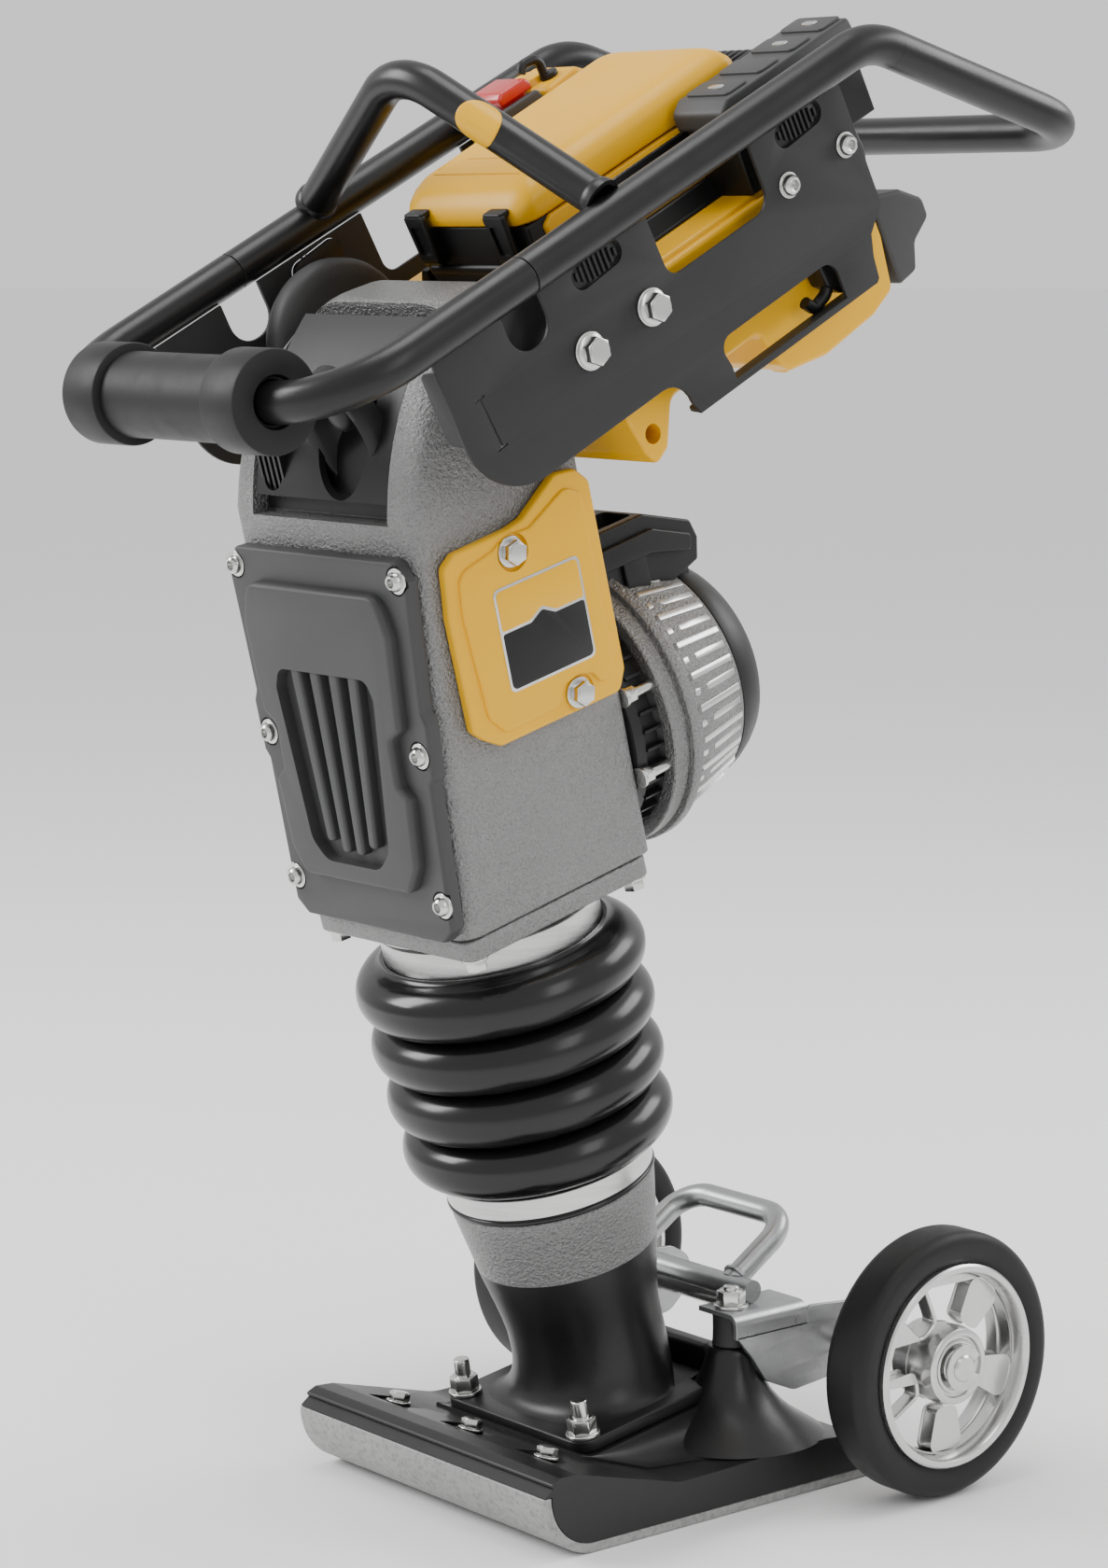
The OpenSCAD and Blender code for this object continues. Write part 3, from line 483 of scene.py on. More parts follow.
def buildShoe(s):
    toe, heel = s["toe"] + s["toeR"], s["heel"] - s["heelR"]
    bm = bmesh.new()
    outer = arcPoints(toe, s["toeR"], s["toeR"], 180, 270, 14)
    outer += arcPoints(heel, s["heelR"], s["heelR"], 270, 330, 8)
    inner = arcPoints(heel, s["heelR"], s["heelR"] - s["plate"], 330, 270, 8)
    inner += arcPoints(toe, s["toeR"], s["toeR"] - s["plate"], 270, 180, 14)
    slab(bm, outer + inner, "x", -s["half"], s["half"])
    piece("wearPlate", bm, worldPlace, "shoeSteel", "leg", ["wear_plate"], edge=1.0)

    lip = s["plate"] + 0.3
    curve = [(s["toe"] + 1, s["toeR"] + 0.6), (s["toe"] + lip, s["toeR"] + 0.6)]
    curve += arcPoints(toe, s["toeR"], s["toeR"] - lip, 180, 270, 14)[1:]
    curve += arcPoints(heel, s["heelR"], s["heelR"] - lip, 270, 330, 8)
    top = rounded([(152, 31, 4), (88, 37, 30), (-54, 33.5, 60), (-150, 59, 12), (-166, 60, 3),
                   (s["toe"] + 1, 54, 4)])
    bm = bmesh.new()
    slab(bm, curve + top, "x", -s["half"], s["half"])
    block = rawObject("shoeBlock", bm)
    cutter = bmesh.new()
    for x in (-s["toeBoltX"], 0, s["toeBoltX"]):  # slots behind the toe bar for the bolts
        slot = rounded([(x - 22, -144, 2), (x + 22, -144, 2), (x + 20, -118, 10), (x - 20, -118, 10)])
        slab(cutter, slot, "z", 51.5, 70)
    cutWith(block, cutter)
    block.data.transform(worldPlace)
    dress(block, "blackCasting", "leg", ["shoe_block"], edge=3.0)

    def seatTop(y):  # rises to the back, stays level and falls away
        if y < 32:
            return 43.4 + (y - s["seatLow"]) * 0.1686
        return 65.1 if y < 62 else max(65.1 - (y - 62) ** 2 * 0.02, 34)

    def seatRing(y):  # section of the seat, with a wide hollow flare down to the shoe
        base = 35.5 if y > -54 else 35.5 - (y + 54) * 0.2656
        top = max(seatTop(y), base + 0.6)
        half = []
        for k in range(11):
            a = math.pi / 2 * k / 10
            out, up = 1.5 * (1 - math.cos(a)), 1 - math.sin(a)
            half.append((s["deckHalf"] + (top - base) * out, base + (top - base) * up))
        half = [(s["deckHalf"] - 3, top), (s["deckHalf"], top - 0.5)] + half[1:] + [(half[-1][0], 26)]
        return [(x, y, z) for x, z in half] + [(-x, y, z) for x, z in reversed(half)]

    bm = bmesh.new()  # raised seat under the foot
    loft(bm, [seatRing(s["seatLow"] + 8.8 * i) for i in range(25)])
    piece("shoeSeat", bm, worldPlace, "blackCasting", "leg", edge=1.0, smooth=50)
    bm = bmesh.new()
    flare = [(0, s["earTop"]), (16, s["earTop"]), (17.4, s["earTop"] - 1.5), (18.2, 96), (20.4, 87),
             (24.4, 77.5), (30, 68), (38, 58.5), (48, 50), (60, 42.5), (70, 36)]
    for side in (-1, 1):
        lathe(bm, flare, Matrix.Translation((side * s["earX"], s["earY"], 0)), 48)
    piece("rearPosts", bm, worldPlace, "blackCasting", "leg")
    bm = bmesh.new()
    web = rounded([(-96, 30, 0), (96, 30, 0), (92, 70, 20), (66, 78, 20), (50, 94, 12), (-50, 94, 12),
                   (-66, 78, 20), (-92, 70, 20)])
    slab(bm, web, "y", 50, 67, chamfer=5, segments=4)
    piece("rearWeb", bm, worldPlace, "blackCasting", "leg")


buildShoe(shoeSize)


# Bolt with washer, hex and a rounded shank end, standing on z = 0
def nutStack(bm, place, washer=12.5, nut=10.8, washerH=2.6, nutH=10.5, stud=6, studH=24):
    post(bm, washer, 0, washerH, 0.7, place)
    hexPost(bm, nut, washerH, washerH + nutH, place, 0.3)
    post(bm, nut * 0.8, washerH + nutH - 0.5, washerH + nutH + 0.6, 0.3, place)
    if studH:
        post(bm, stud, washerH, studH, 1.2, place, 24)


def buildShoeBolts(s):
    bm = bmesh.new()
    for x in (-s["footStudX"], s["footStudX"]):
        nutStack(bm, Matrix.Translation((x, 13, 10)), 12.5, 11, 3, 11, 6, 27.5)
    piece("footStuds", bm, deckPlace, "zinc", "leg", ["foot_studs"])
    bm = bmesh.new()
    lean = Matrix.Rotation(math.radians(-13.8), 4, "X")  # square to the toe bar
    for x in (-s["toeBoltX"], 0, s["toeBoltX"]):
        place = Matrix.Translation((x, -132, 53.2)) @ lean
        nutStack(bm, place, 9.2, 8, 2, 6, 4, 0)
    piece("toeBolts", bm, worldPlace, "zinc", "leg", ["toe_bolts"])
    bm = bmesh.new()
    for x in (-s["earX"], s["earX"]):
        nutStack(bm, Matrix.Translation((x, s["earY"], 130)), 13, 11, 2.5, 10, 6, 16)
    piece("bracketNuts", bm, worldPlace, "zinc", "leg", ["bracket_nuts"])
    bm = bmesh.new()
    buffer = [(6.6, 101.7), (13.2, 101.7), (14, 102.6), (13.6, 106), (13.4, 114), (13.6, 122),
              (14, 125), (13.2, 125.8), (6.6, 125.8)]
    for x in (-s["earX"], s["earX"]):
        lathe(bm, buffer, Matrix.Translation((x, s["earY"], 0)), 40, closed=True)
    piece("rearBuffers", bm, worldPlace, "mountRubber", "leg", ["rear_buffers"])


buildShoeBolts(shoeSize)
print("shoe built")

footSize = dict(half=81, length=126, thick=10, around=96, blend=14, neckR=57.5, neckW=118, paintW=184,
                sealW=237)


def buildFoot(s):
    bm = bmesh.new()
    outline = rounded([(-s["half"], 0, 15), (s["half"], 0, 15), (s["half"], s["length"], 10),
                       (58, s["length"], 6), (56, 141, 6),
                       (-56, 141, 6), (-58, s["length"], 6), (-s["half"], s["length"], 10)])
    slab(bm, outline, "z", 0.3, s["thick"], chamfer=1.6, segments=3)
    # the neck rises out of the flange as one flowing surface
    toDeck = deckPlace.inverted() @ legPlace
    angles = [math.tau * i / s["around"] for i in range(s["around"])]

    def onDeck(a):  # a rounded square on the flange
        c, n = math.cos(a), math.sin(a)
        k = (abs(c) ** 3.2 + abs(n) ** 3.2) ** (-1 / 3.2)
        return Vector((72 * k * c, 66 + 56 * k * n, s["thick"] - 0.4))

    def onLeg(a, r, w):
        return toDeck @ Vector((r * math.cos(a), r * math.sin(a), w))

    def rising(a, t):  # leaves the flange flat and ends along the leg
        low, high = onDeck(a), onLeg(a, s["neckR"], s["neckW"])
        down = onLeg(a, s["neckR"], 60) - high
        foot = high + down * ((s["thick"] - high.z) / down.z)
        return low * (1 - t) ** 2 + foot * 2 * t * (1 - t) + high * t * t

    rings = [[onDeck(a) for a in angles]]
    rings += [[rising(a, (i + 1) / s["blend"]) for a in angles] for i in range(s["blend"])]
    upper = ((57.6, 128), (59.2, 140), (61.4, 152), (64.2, 165), (66.6, 176), (68, s["paintW"]))
    rings += [[onLeg(a, r, w) for a in angles] for r, w in upper]
    loft(bm, rings, closeLow=False, closeHigh=False)
    piece("footCasting", bm, deckPlace, "blackCasting", "leg", ["foot_casting"], smooth=50)

    bm = bmesh.new()
    leg = [(60, s["paintW"]), (68, s["paintW"]), (70.5, 200), (73.6, 218), (75.6, 230), (76, 234.5),
           (75, 236.6), (64, s["sealW"]), (64, 444), (63, 445), (14.1, 445)]
    lathe(bm, leg, steps=96)
    piece("legCylinder", bm, legPlace, "castAlloy", "leg", ["leg_cylinder"])
    bm = bmesh.new()
    lathe(bm, [(64.4, 237.2)] + arcPoints(75.6, 239.4, 2.2, -90, 90, 8) + [(64.4, 241.2)], steps=96,
          closed=True)
    piece("sealRing", bm, legPlace, "bellowsRubber", "leg", ["leg_seal_ring"])
    bm = bmesh.new()
    collar = [(64.4, 241.6), (76, 241.6), (77, 242.6), (77, 258), (76.2, 259), (76.2, 270.5),
              (75.4, 271.5), (64.4, 271.5)]
    lathe(bm, collar, steps=96, closed=True)
    piece("lowerCollar", bm, legPlace, "turnedAlloy", "leg", ["lower_collar"])


buildFoot(footSize)

bellowsSize = dict(low=263, high=430, outer=(100.3, 102.5, 104.4, 106.3), rollR=20.9, wall=4.5,
                   keep=0.641)


def buildBellows(s):
    pitch = (s["high"] - s["low"]) / 4
    outline = []
    for i, outer in enumerate(s["outer"]):
        core = outer - s["rollR"]
        mid = s["low"] + pitch * (i + 0.5)
        outline += [(core + s["rollR"] * math.cos(math.radians(a)),
                     mid + pitch / 2 * math.sin(math.radians(a)))
                    for a in range(-80, 81, 8)]
        if i < 3:
            outline.append((core - 0.6, mid + pitch / 2))
    inner = [(r - s["wall"], w) for r, w in reversed(outline) if s["low"] + 6 < w < s["high"] - 6]
    bottom = [(77.6, s["low"] + 4), (77.6, s["low"] - 3.4), (80.5, s["low"] - 4), (82.5, s["low"] - 2)]
    top = [(84, s["high"] + 1.5), (83.4, s["high"] + 3.4), (80.6, s["high"] + 3), (80.4, s["high"] - 5)]
    bm = bmesh.new()
    lathe(bm, bottom + outline + top + inner, steps=112, closed=True)
    skin = piece("bellowsSkin", bm, legPlace, "bellowsRubber", "leg", ["bellows"], smooth=80)
    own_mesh(skin)


buildBellows(bellowsSize)
print("leg built")

wheelSize = dict(y=142, z=99.5, tyreR=98.3, rimR=76, inner=183, width=39, spokes=5, axleHalf=232,
                 axleR=10)


def buildWheel(s, side, name, body):
    lead = s["inner"]
    out = lead + s["width"]
    place = worldPlace if side > 0 else worldPlace @ mirrorX
    centre = alongX(0, s["y"], s["z"])
    bm = bmesh.new()
    tyre = [(s["rimR"] - 0.4, lead + 3), (s["rimR"] + 4, lead + 0.6), (s["tyreR"] - 13, lead)]
    tyre += arcPoints(s["tyreR"] - 9, lead + 9, 9, 270, 360, 7)
    tyre += arcPoints(s["tyreR"] - 9, out - 9, 9, 0, 90, 7)
    tyre += [(s["tyreR"] - 13, out), (s["rimR"] + 4, out - 0.6), (s["rimR"] - 0.4, out - 3)]
    lathe(bm, tyre, centre, 120, closed=True)
    piece(name + "Tyre", bm, place, "tyreRubber", body, [name + "_tyre"])

    bm = bmesh.new()
    rim = [(-0.6, lead + 0.5), (-0.6, out + 1), (-2, out + 2.4), (-6, out + 2.2), (-7.5, out),
           (-8.5, out - 8),
           (-8.8, lead + 20), (-8.2, lead + 4), (-5, lead - 0.4), (-2, lead - 0.4)]
    lathe(bm, [(s["rimR"] + r, x) for r, x in rim], centre, 120, closed=True)
    hub = [(20.4, lead - 1), (26, lead - 1), (28, lead + 1), (28.5, lead + 16), (29.5, out - 6),
           (28, out + 1.5), (26.5, out + 2.6),
           (23, out + 2.6), (22, out + 0.5), (20.4, out + 0.5)]
    lathe(bm, hub, centre, 64, closed=True)
    piece(name + "Rim", bm, place, "machinedAlloy", body, [name + "_rim"])

    bm = bmesh.new()  # five spokes left between rounded windows
    holes = [circlePoints(0, 0, 27, 64)]
    for i in range(s["spokes"]):
        turn = Matrix.Rotation(math.tau * (i + 0.5) / s["spokes"] + 0.3, 2)
        window = rounded([(35, -8.5, 4), (63.5, -14.5, 7), (66.5, 0, 20), (63.5, 14.5, 7), (35, 8.5, 4),
                          (33.5, 0, 20)])
        holes.append([tuple(turn @ Vector(p)) for p in window])
    disc = circlePoints(0, 0, s["rimR"] - 8.4, 96)
    sheetMetal(bm, [disc] + holes, "x", lead + 16, lead + 30, edge=2.2, segments=4)
    bmesh.ops.translate(bm, verts=bm.verts, vec=(0, s["y"], s["z"]))
    piece(name + "Spokes", bm, place, "machinedAlloy", body)

    bm = bmesh.new()
    bearing = [(10.3, -1), (20.2, -1), (20.2, 1.2), (19, 1.8), (17.4, 1.8), (16.8, 0.8), (13.8, 0.8),
               (13.2, 1.8), (11, 1.8), (10.3, 1)]
    lathe(bm, [(r, out + x) for r, x in bearing], centre, 56, closed=True)
    piece(name + "Bearing", bm, place, "zinc", body)


for side, name in ((1, "right"), (-1, "left")):
    buildWheel(wheelSize, side, name, "wheel_" + name)


def buildBracket(s):
    bm = bmesh.new()
    end, r = s["axleHalf"], s["axleR"]
    axle = [(0, -end), (r - 1.4, -end), (r, 1.4 - end), (r, end - 1.4), (r - 1.4, end), (0, end)]
    lathe(bm, axle, alongX(0, s["y"], s["z"]), 40)
    clip = arcPoints(0, 0, 17, 25, 335, 36) + arcPoints(0, 0, r - 0.4, 335, 25, 36)
    for side in (Matrix.Identity(4), mirrorX):
        sheetMetal(bm, [clip], "x", 228.1, 230, 0.3, place=side @ Matrix.Translation((0, s["y"], s["z"])))
    piece("wheelAxle", bm, worldPlace, "zinc", "leg", ["wheel_axle"])
    for side, name in ((1, "right"), (-1, "left")):
        bm = bmesh.new()
        fold = [(62, 126.1, 0), (62, 130, 0), (104, 130, 9), (104, 112, 0), (100, 112, 0),
                (100, 126.1, 5)]
        slab(bm, rounded(fold, 8), "y", 34, 105)
        wall = rounded([(34, 114, 0), (50, 96, 20), (64, 76, 14), (92, 64, 16), (150, 70, 18),
                        (172, 90, 18), (170, 112, 16),
                        (152, 122, 12), (105, 126, 8), (105, 114, 0)])
        hole = circlePoints(s["y"], s["z"], r + 0.1, 40)
        sheetMetal(bm, [wall, hole], "x", 100, 104, 0.5)
        place = worldPlace if side > 0 else worldPlace @ mirrorX
        piece(name + "Bracket", bm, place, "galvanised", "leg", [name + "_wheel_bracket"], edge=0.5)


buildBracket(wheelSize)

grabSize = dict(y=68, z=139, lean=33, half=58, reach=74, bend=26, barR=9)


def buildGrab(s):
    lean = math.radians(s["lean"])
    place = worldPlace @ Matrix.Translation((0, s["y"], s["z"])) @ Matrix.Rotation(lean, 4, "X")
    bm = bmesh.new()
    h, r = s["half"], s["reach"]
    tube(bm, bentPath([(-h, 2, 0, 0), (-h, r, 0, s["bend"]), (h, r, 0, s["bend"]), (h, 2, 0, 0)]),
         s["barR"])
    tube(bm, [Vector((-84, 0, 0)), Vector((84, 0, 0))], s["barR"] - 0.5)
    for x in (-h, h):  # weld beads where the hoop meets the bar
        lathe(bm, [(8.9, 8.2), (11.2, 8.0), (11, 10), (8.9, 11.6)], alongY(x), 32)
    piece("grabHandle", bm, place, "galvanised", "leg", ["grab_handle"])


buildGrab(grabSize)
print("wheels built")

caseSize = dict(low=474, high=896, frontLow=-86, frontMid=-61.5, halfLow=89, halfMid=104, hoodLow=770,
                rear=88,
                arc=(146, 716.5, 214), rise=134, power=3.2)


# Front face of the case at a height along the leg, straight and then round over the hood
def caseFront(w, s=caseSize):
    if w <= s["hoodLow"]:
        share = (w - s["low"]) / (s["hoodLow"] - s["low"])
        return s["frontLow"] + (s["frontMid"] - s["frontLow"]) * share
    cx, cw, r = s["arc"]
    return cx - math.sqrt(r * r - (w - cw) ** 2)


# Half of the case's width at that height
def caseHalf(w, s=caseSize):
    if w <= s["hoodLow"]:
        return s["halfLow"] + (s["halfMid"] - s["halfLow"]) * (w - s["low"]) / (s["hoodLow"] - s["low"])
    return s["halfMid"] * (1 - ((w - s["hoodLow"]) / s["rise"]) ** s["power"]) ** (1 / s["power"])


def roundRing(half, front, rear, w, frontR=13, rearR=7):
    corners = [(half, front, frontR), (half, rear, rearR), (-half, rear, rearR), (-half, front, frontR)]
    return [(x, v, w) for x, v in rounded(corners, 7)]


def buildCase(s):
    levels = [s["low"] + 1.5] + [s["low"] + (s["hoodLow"] - s["low"]) * i / 12 for i in range(1, 13)]
    levels += [s["hoodLow"] + 7 * i for i in range(1, 16)] + [880, 885, 889, 892]
    rings = [roundRing(caseHalf(s["low"]) - 1.2, s["frontLow"] + 1.2, s["rear"] - 1.2, s["low"] + 0.2)]
    for w in levels:
        back = s["rear"] if w < 884 else s["rear"] - (w - 884) * 0.9
        soft = 13 if w < s["hoodLow"] else 13 + (w - s["hoodLow"]) * 0.09
        rings.append(roundRing(caseHalf(w), caseFront(w), back, w, soft, 7))
    rings.append(roundRing(caseHalf(894) - 4, caseFront(894) + 2, s["rear"] - 12, 894.6, 20, 7))
    rings.append(roundRing(caseHalf(894) - 9, caseFront(895) + 5, s["rear"] - 16, 895.8, 18, 7))
    bm = bmesh.new()
    loft(bm, rings)
    shell = rawObject("crankcaseShell", bm)
    cutter = bmesh.new()  # deep recess behind the black hood panel
    cx, cw, r = s["arc"]
    recess = [(-130, 768)] + arcPoints(cx, cw, r - 14, 165.6, 125.5, 16) + [(24, 910), (-130, 910)]
    slab(cutter, recess, "x", -77, 77)
    cutWith(shell, cutter)
    cutter = bmesh.new()  # hollow for the crank, open below for the leg
    rows = [470 + 27 * i for i in range(11)]
    loft(cutter, [roundRing(caseHalf(w) - 8, caseFront(w) + 9, s["rear"] - 9, w, 8, 5) for w in rows])
    cutWith(shell, cutter)
    shell.data.transform(legPlace)
    dress(shell, "castAlloy", "machine", ["crankcase"], edge=2.2, smooth=40)

    bm = bmesh.new()  # bosses on both sides for the handle mounts
    for side in (-1, 1):
        boss = [(0, 82), (26, 82), (26, 98), (24.5, 102), (22, 105.2), (19, 106.2), (0, 106.2)]
        lathe(bm, boss, outFrom(side, 0, *pivotSpot), 56)
    piece("mountBosses", bm, railPlace, "castAlloy", "machine")

    bm = bmesh.new()
    flange = rounded([(-89, -86, 9), (89, -86, 9), (89, 84, 9), (-89, 84, 9)])
    slab(bm, flange, "z", 459, 473.6, chamfer=1.4, segments=3)
    slab(bm, rounded([(-86, -83, 9), (86, -83, 9), (86, 82, 9), (-86, 82, 9)]), "z", 472, 474.6)
    plate = rawObject("guideFlange", bm)
    cutter = bmesh.new()
    lathe(cutter, [(0, 440), (71, 440), (71, 490), (0, 490)], steps=96)
    cutWith(plate, cutter)
    plate.data.transform(legPlace)
    dress(plate, "castAlloy", "machine", ["guide_flange"])
    bm = bmesh.new()
    collar = [(70.2, 424.2), (79, 424.2), (80, 425.4), (80, 452), (81.5, 455), (84, 457.5), (84, 459.2),
              (70.2, 459.2)]
    lathe(bm, collar, steps=96, closed=True)
    piece("guideCollar", bm, legPlace, "turnedAlloy", "machine")
    bm = bmesh.new()
    for x in (-78, 78):
        for v in (-75, 74):
            down = Matrix.Translation((x, v, 459)) @ Matrix.Rotation(math.pi, 4, "X")
            post(bm, 9.6, 0, 2.2, 0.6, down, 32)
            hexPost(bm, 8, 2.2, 9.5, down, 0.2)
    piece("flangeBolts", bm, legPlace, "zinc", "machine", ["flange_bolts"])


buildCase(caseSize)

hoodSize = dict(half=74.6, outer=1.5, inner=6, bossW=822, bossR=42, lean=13, fins=5)


def buildHood(s):
    cx, cw, r = caseSize["arc"]
    bm = bmesh.new()
    low = math.degrees(math.asin((780 - cw) / (r - s["outer"])))
    outer = arcPoints(cx, cw, r - s["outer"], 180 - low, 126.6, 18)
    inner = arcPoints(cx, cw, r - s["inner"], 126.0, 180 - low, 18)
    slab(bm, outer + inner, "x", -s["half"], s["half"])
    panel = rawObject("hoodPanel", bm)
    lean = Matrix.Rotation(math.radians(s["lean"]), 4, "X")  # the bowl leans back with the hood's face
    turn = Matrix.Translation((22, -36, s["bossW"])) @ lean @ facingFront(0, 0, 0)
    turn = turn @ Matrix.Scale(0.8, 4, (1, 0, 0))
    cutter = bmesh.new()
    lathe(cutter, [(0, -40), (s["bossR"] - 6, -40), (s["bossR"] - 6, 50), (0, 50)], turn, 64)
    cutWith(panel, cutter)
    cutter = bmesh.new()
    oval = rounded([(-66, 783, 10), (-45, 783, 10), (-45, 818, 10), (-66, 818, 10)])
    slab(cutter, oval, "y", -110, 0)
    cutWith(panel, cutter)
    panel.data.transform(legPlace)
    dress(panel, "blackPlastic", "machine", ["hood_panel"], edge=1.2)
    bm = bmesh.new()  # lip, bowl and core of the air scoop
    edge = s["bossR"]
    lip = [(edge + 7, -6), (edge + 5, 5), (edge + 2, 10), (edge - 2, 12), (edge - 5.5, 10.4),
           (edge - 8, 6), (edge - 11, -2),
           (edge - 16, -9), (edge - 23, -14.5), (edge - 31, -17), (0, -18)]
    lathe(bm, lip, turn, 80)
    core = [(0, -23), (15, -22), (14.4, 0), (13.4, 5), (11, 7.6), (6, 9), (0, 9.4)]
    lathe(bm, core, turn @ Matrix.Translation((5, 17, 0)), 48)
    piece("hoodScoop", bm, legPlace, "blackPlastic", "machine", smooth=60)
    bm = bmesh.new()  # fins seen through the oval hole, and a black sheet over the recess's back wall that paints the shade in the gap under the panel
    for i in range(s["fins"]):
        slab(bm, rounded(boxCorners(-69 + 6 * i, 778, -66.5 + 6 * i, 820, 0.6)), "y", -53, -40)
    # painted shade: a black sheet laid over the back of the recess so the gap below the hood panel reads dark
    paintedShadeArc = arcPoints(cx, cw, r - 13, 165.4, 127, 14) + arcPoints(cx, cw, r - 15.5, 127, 165.4, 14)
    slab(bm, paintedShadeArc, "x", -76.5, 76.5)
    piece("hoodPaintedShade", bm, legPlace, "blackPlastic", "machine")


buildHood(hoodSize)

coverSize = dict(tilt=math.degrees(math.atan(24.5 / 296)), base=12, raised=8.5, ribs=4, ribGap=19,
                 screws=((84, 31), (86.5, 138), (92, 260)))


# An outline's right half, mirrored to make the whole
def bothSides(half):
    return rounded(half + [(-x, y, r) for x, y, r in reversed(half)])


def buildFrontCover(s):
    face = Matrix.Rotation(-math.radians(s["tilt"]), 4, "X")
    place = legPlace @ Matrix.Translation((0, caseSize["frontLow"], caseSize["low"])) @ face
    bm = bmesh.new()
    base = bothSides([(78, 3, 4), (89.5, 13, 5), (92.5, 118, 3), (97, 124, 3), (99, 160, 3), (95, 168, 3),
                      (101.5, 258, 5), (90, 273, 5)])
    slab(bm, base, "y", -s["base"], 0.2, chamfer=2.4, segments=4)
    raised = bothSides([(60, 38, 10), (72, 58, 12), (76, 108, 4), (66, 116, 6), (66, 148, 6),
                        (78, 156, 4),
                        (83, 222, 10), (74, 250, 14)])
    slab(bm, raised, "y", -s["base"] - s["raised"], -6, chamfer=4.5, segments=5)
    cover = rawObject("frontCover", bm)
    cutter = bmesh.new()  # tapered grille recess
    grille = bothSides([(30, 52, 16), (44, 66, 16), (56, 176, 10), (50, 190, 10)])
    slab(cutter, grille, "y", -60, -s["base"] + 0.5)
    cutWith(cover, cutter)
    cutter = bmesh.new()
    for side in (-1, 1):
        for x, h in s["screws"]:
            pocket = facingFront(side * x, -s["base"] + 2.2, h)
            lathe(cutter, [(0, -1), (10.4, -1), (10.4, 30), (0, 30)], pocket, 40)
    cutWith(cover, cutter)
    cover.data.transform(place)
    dress(cover, "greyPlastic", "machine", ["front_cover"], edge=1.3, smooth=35)
    bm = bmesh.new()
    for i in range(s["ribs"]):
        x = s["ribGap"] * (i - (s["ribs"] - 1) / 2)
        lean, foot = x * 0.16, 56 + abs(x) * 0.35  # the ribs spread and start lower in the middle
        rib = rounded([(x - 4.6 - lean, foot, 4), (x + 4.6 - lean, foot, 4), (x + 5.6 + lean, 192, 4),
                       (x - 5.6 + lean, 192, 4)])
        slab(bm, rib, "y", -s["base"] - s["raised"] + 1.2, -s["base"] + 3, chamfer=2.6, segments=4)
    piece("coverRibs", bm, place, "greyPlastic", "machine")
    bm = bmesh.new()
    for side in (-1, 1):
        for x, h in s["screws"]:
            out = facingFront(side * x, -s["base"] + 1.6, h)
            post(bm, 9.2, 0, 1.8, 0.5, out, 40, hole=3)
            head = [(0, 2.4), (3.2, 2.4), (3.4, 6.6), (4.4, 7), (6.2, 5.6), (6.9, 3.2), (6.9, 1.2),
                    (0, 1.2)]
            lathe(bm, head, out, 36)
            hexPost(bm, 2.6, 1, 2.6, out)
    piece("coverScrews", bm, place, "zinc", "machine", ["cover_screws"])


buildFrontCover(coverSize)

sideSize = dict(thick=11, foot=598, slope=15 / 296, bolts=((8, 728), (43, 613)))


def buildSideCover(s, side, name):
    thick, foot = s["thick"], s["foot"]
    place = legPlace if side > 0 else legPlace @ mirrorX
    lean = Matrix.Rotation(math.atan(s["slope"]), 4, "Y")
    place = place @ Matrix.Translation((caseHalf(foot), 0, foot)) @ lean
    rows = [(-52, 618, 8), (-53, 700, 3), (-51, 716, 3), (-49, 735, 8), (-38, 742, 6), (10, 743.5, 6),
            (24, 746, 10), (58, 767, 8),
            (76, 764.5, 8), (86.5, 753, 8), (87.5, 615, 8), (80, 600, 8), (-30, 600.5, 8), (-44, 610, 8)]
    outline = rounded([(v, w - foot, r) for v, w, r in rows], 5)
    bm = bmesh.new()
    slab(bm, outline, "x", 0.15, thick - 2, chamfer=2.6, segments=4)
    inner = rounded([(-38, 26, 8), (-43, 100, 8), (-40, 130, 12), (-8, 136, 10), (4, 143, 8),
                     (26, 141, 8), (62, 158, 10), (76, 150, 10),
                     (77, 24, 10), (64, 12, 8), (56, 26, 8), (30, 26, 8), (24, 12, 8), (-26, 11, 8)], 5)
    slab(bm, inner, "x", thick - 4, thick + 0.4, chamfer=1.8, segments=4)
    cover = rawObject(name + "SideCover", bm)
    cutter = bmesh.new()
    for v, w in s["bolts"]:
        lathe(cutter, [(0, 0), (13.5, 0), (13.5, 30), (0, 30)], alongX(thick - 3.4, v, w - foot), 40)
    cutWith(cover, cutter)
    cover.data.transform(place)
    dress(cover, "yellowPlastic", "machine", [name + "_side_cover"], edge=0.9)
    rim = boxCorners(-16, 36, 62, 110, 5)  # plain two-tone badge with no marking
    panel = [(-14, 38, 4), (60, 38, 4), (60, 78, 2), (34, 78, 4), (23, 84, 4), (12, 78, 4), (-14, 78, 2)]
    band = [(-14, 80, 2), (11, 80, 2), (23, 86.5, 4), (35, 80, 2), (60, 80, 2), (60, 108, 4),
            (-14, 108, 4)]
    for label, shape, low, high, finish in (("BadgeRim", rim, 0.2, 0.9, "zinc"),
                                            ("BadgePanel", panel, 0.7, 1.3, "blackPlastic"),
                                            ("BadgeBand", band, 0.7, 1.3, "yellowPlastic")):
        bm = bmesh.new()
        slab(bm, rounded(shape), "x", thick + low, thick + high, chamfer=0.2)
        piece(name + label, bm, place, finish, "machine")
    return place


bm = bmesh.new()
for side, name in ((1, "right"), (-1, "left")):
    place = buildSideCover(sideSize, side, name)
    for v, w in sideSize["bolts"]:
        spot = place @ alongX(sideSize["thick"] - 3.2, v, w - sideSize["foot"])
        post(bm, 11, 0, 2, 0.6, spot, 40)
        hexPost(bm, 9, 2, 9, spot, 0.25)
        post(bm, 6.8, 8.6, 9.7, 0.4, spot, 30)
piece("sideCoverBolts", bm, Matrix.Identity(4), "zinc", "machine", ["side_cover_bolts"])
print("crankcase built")

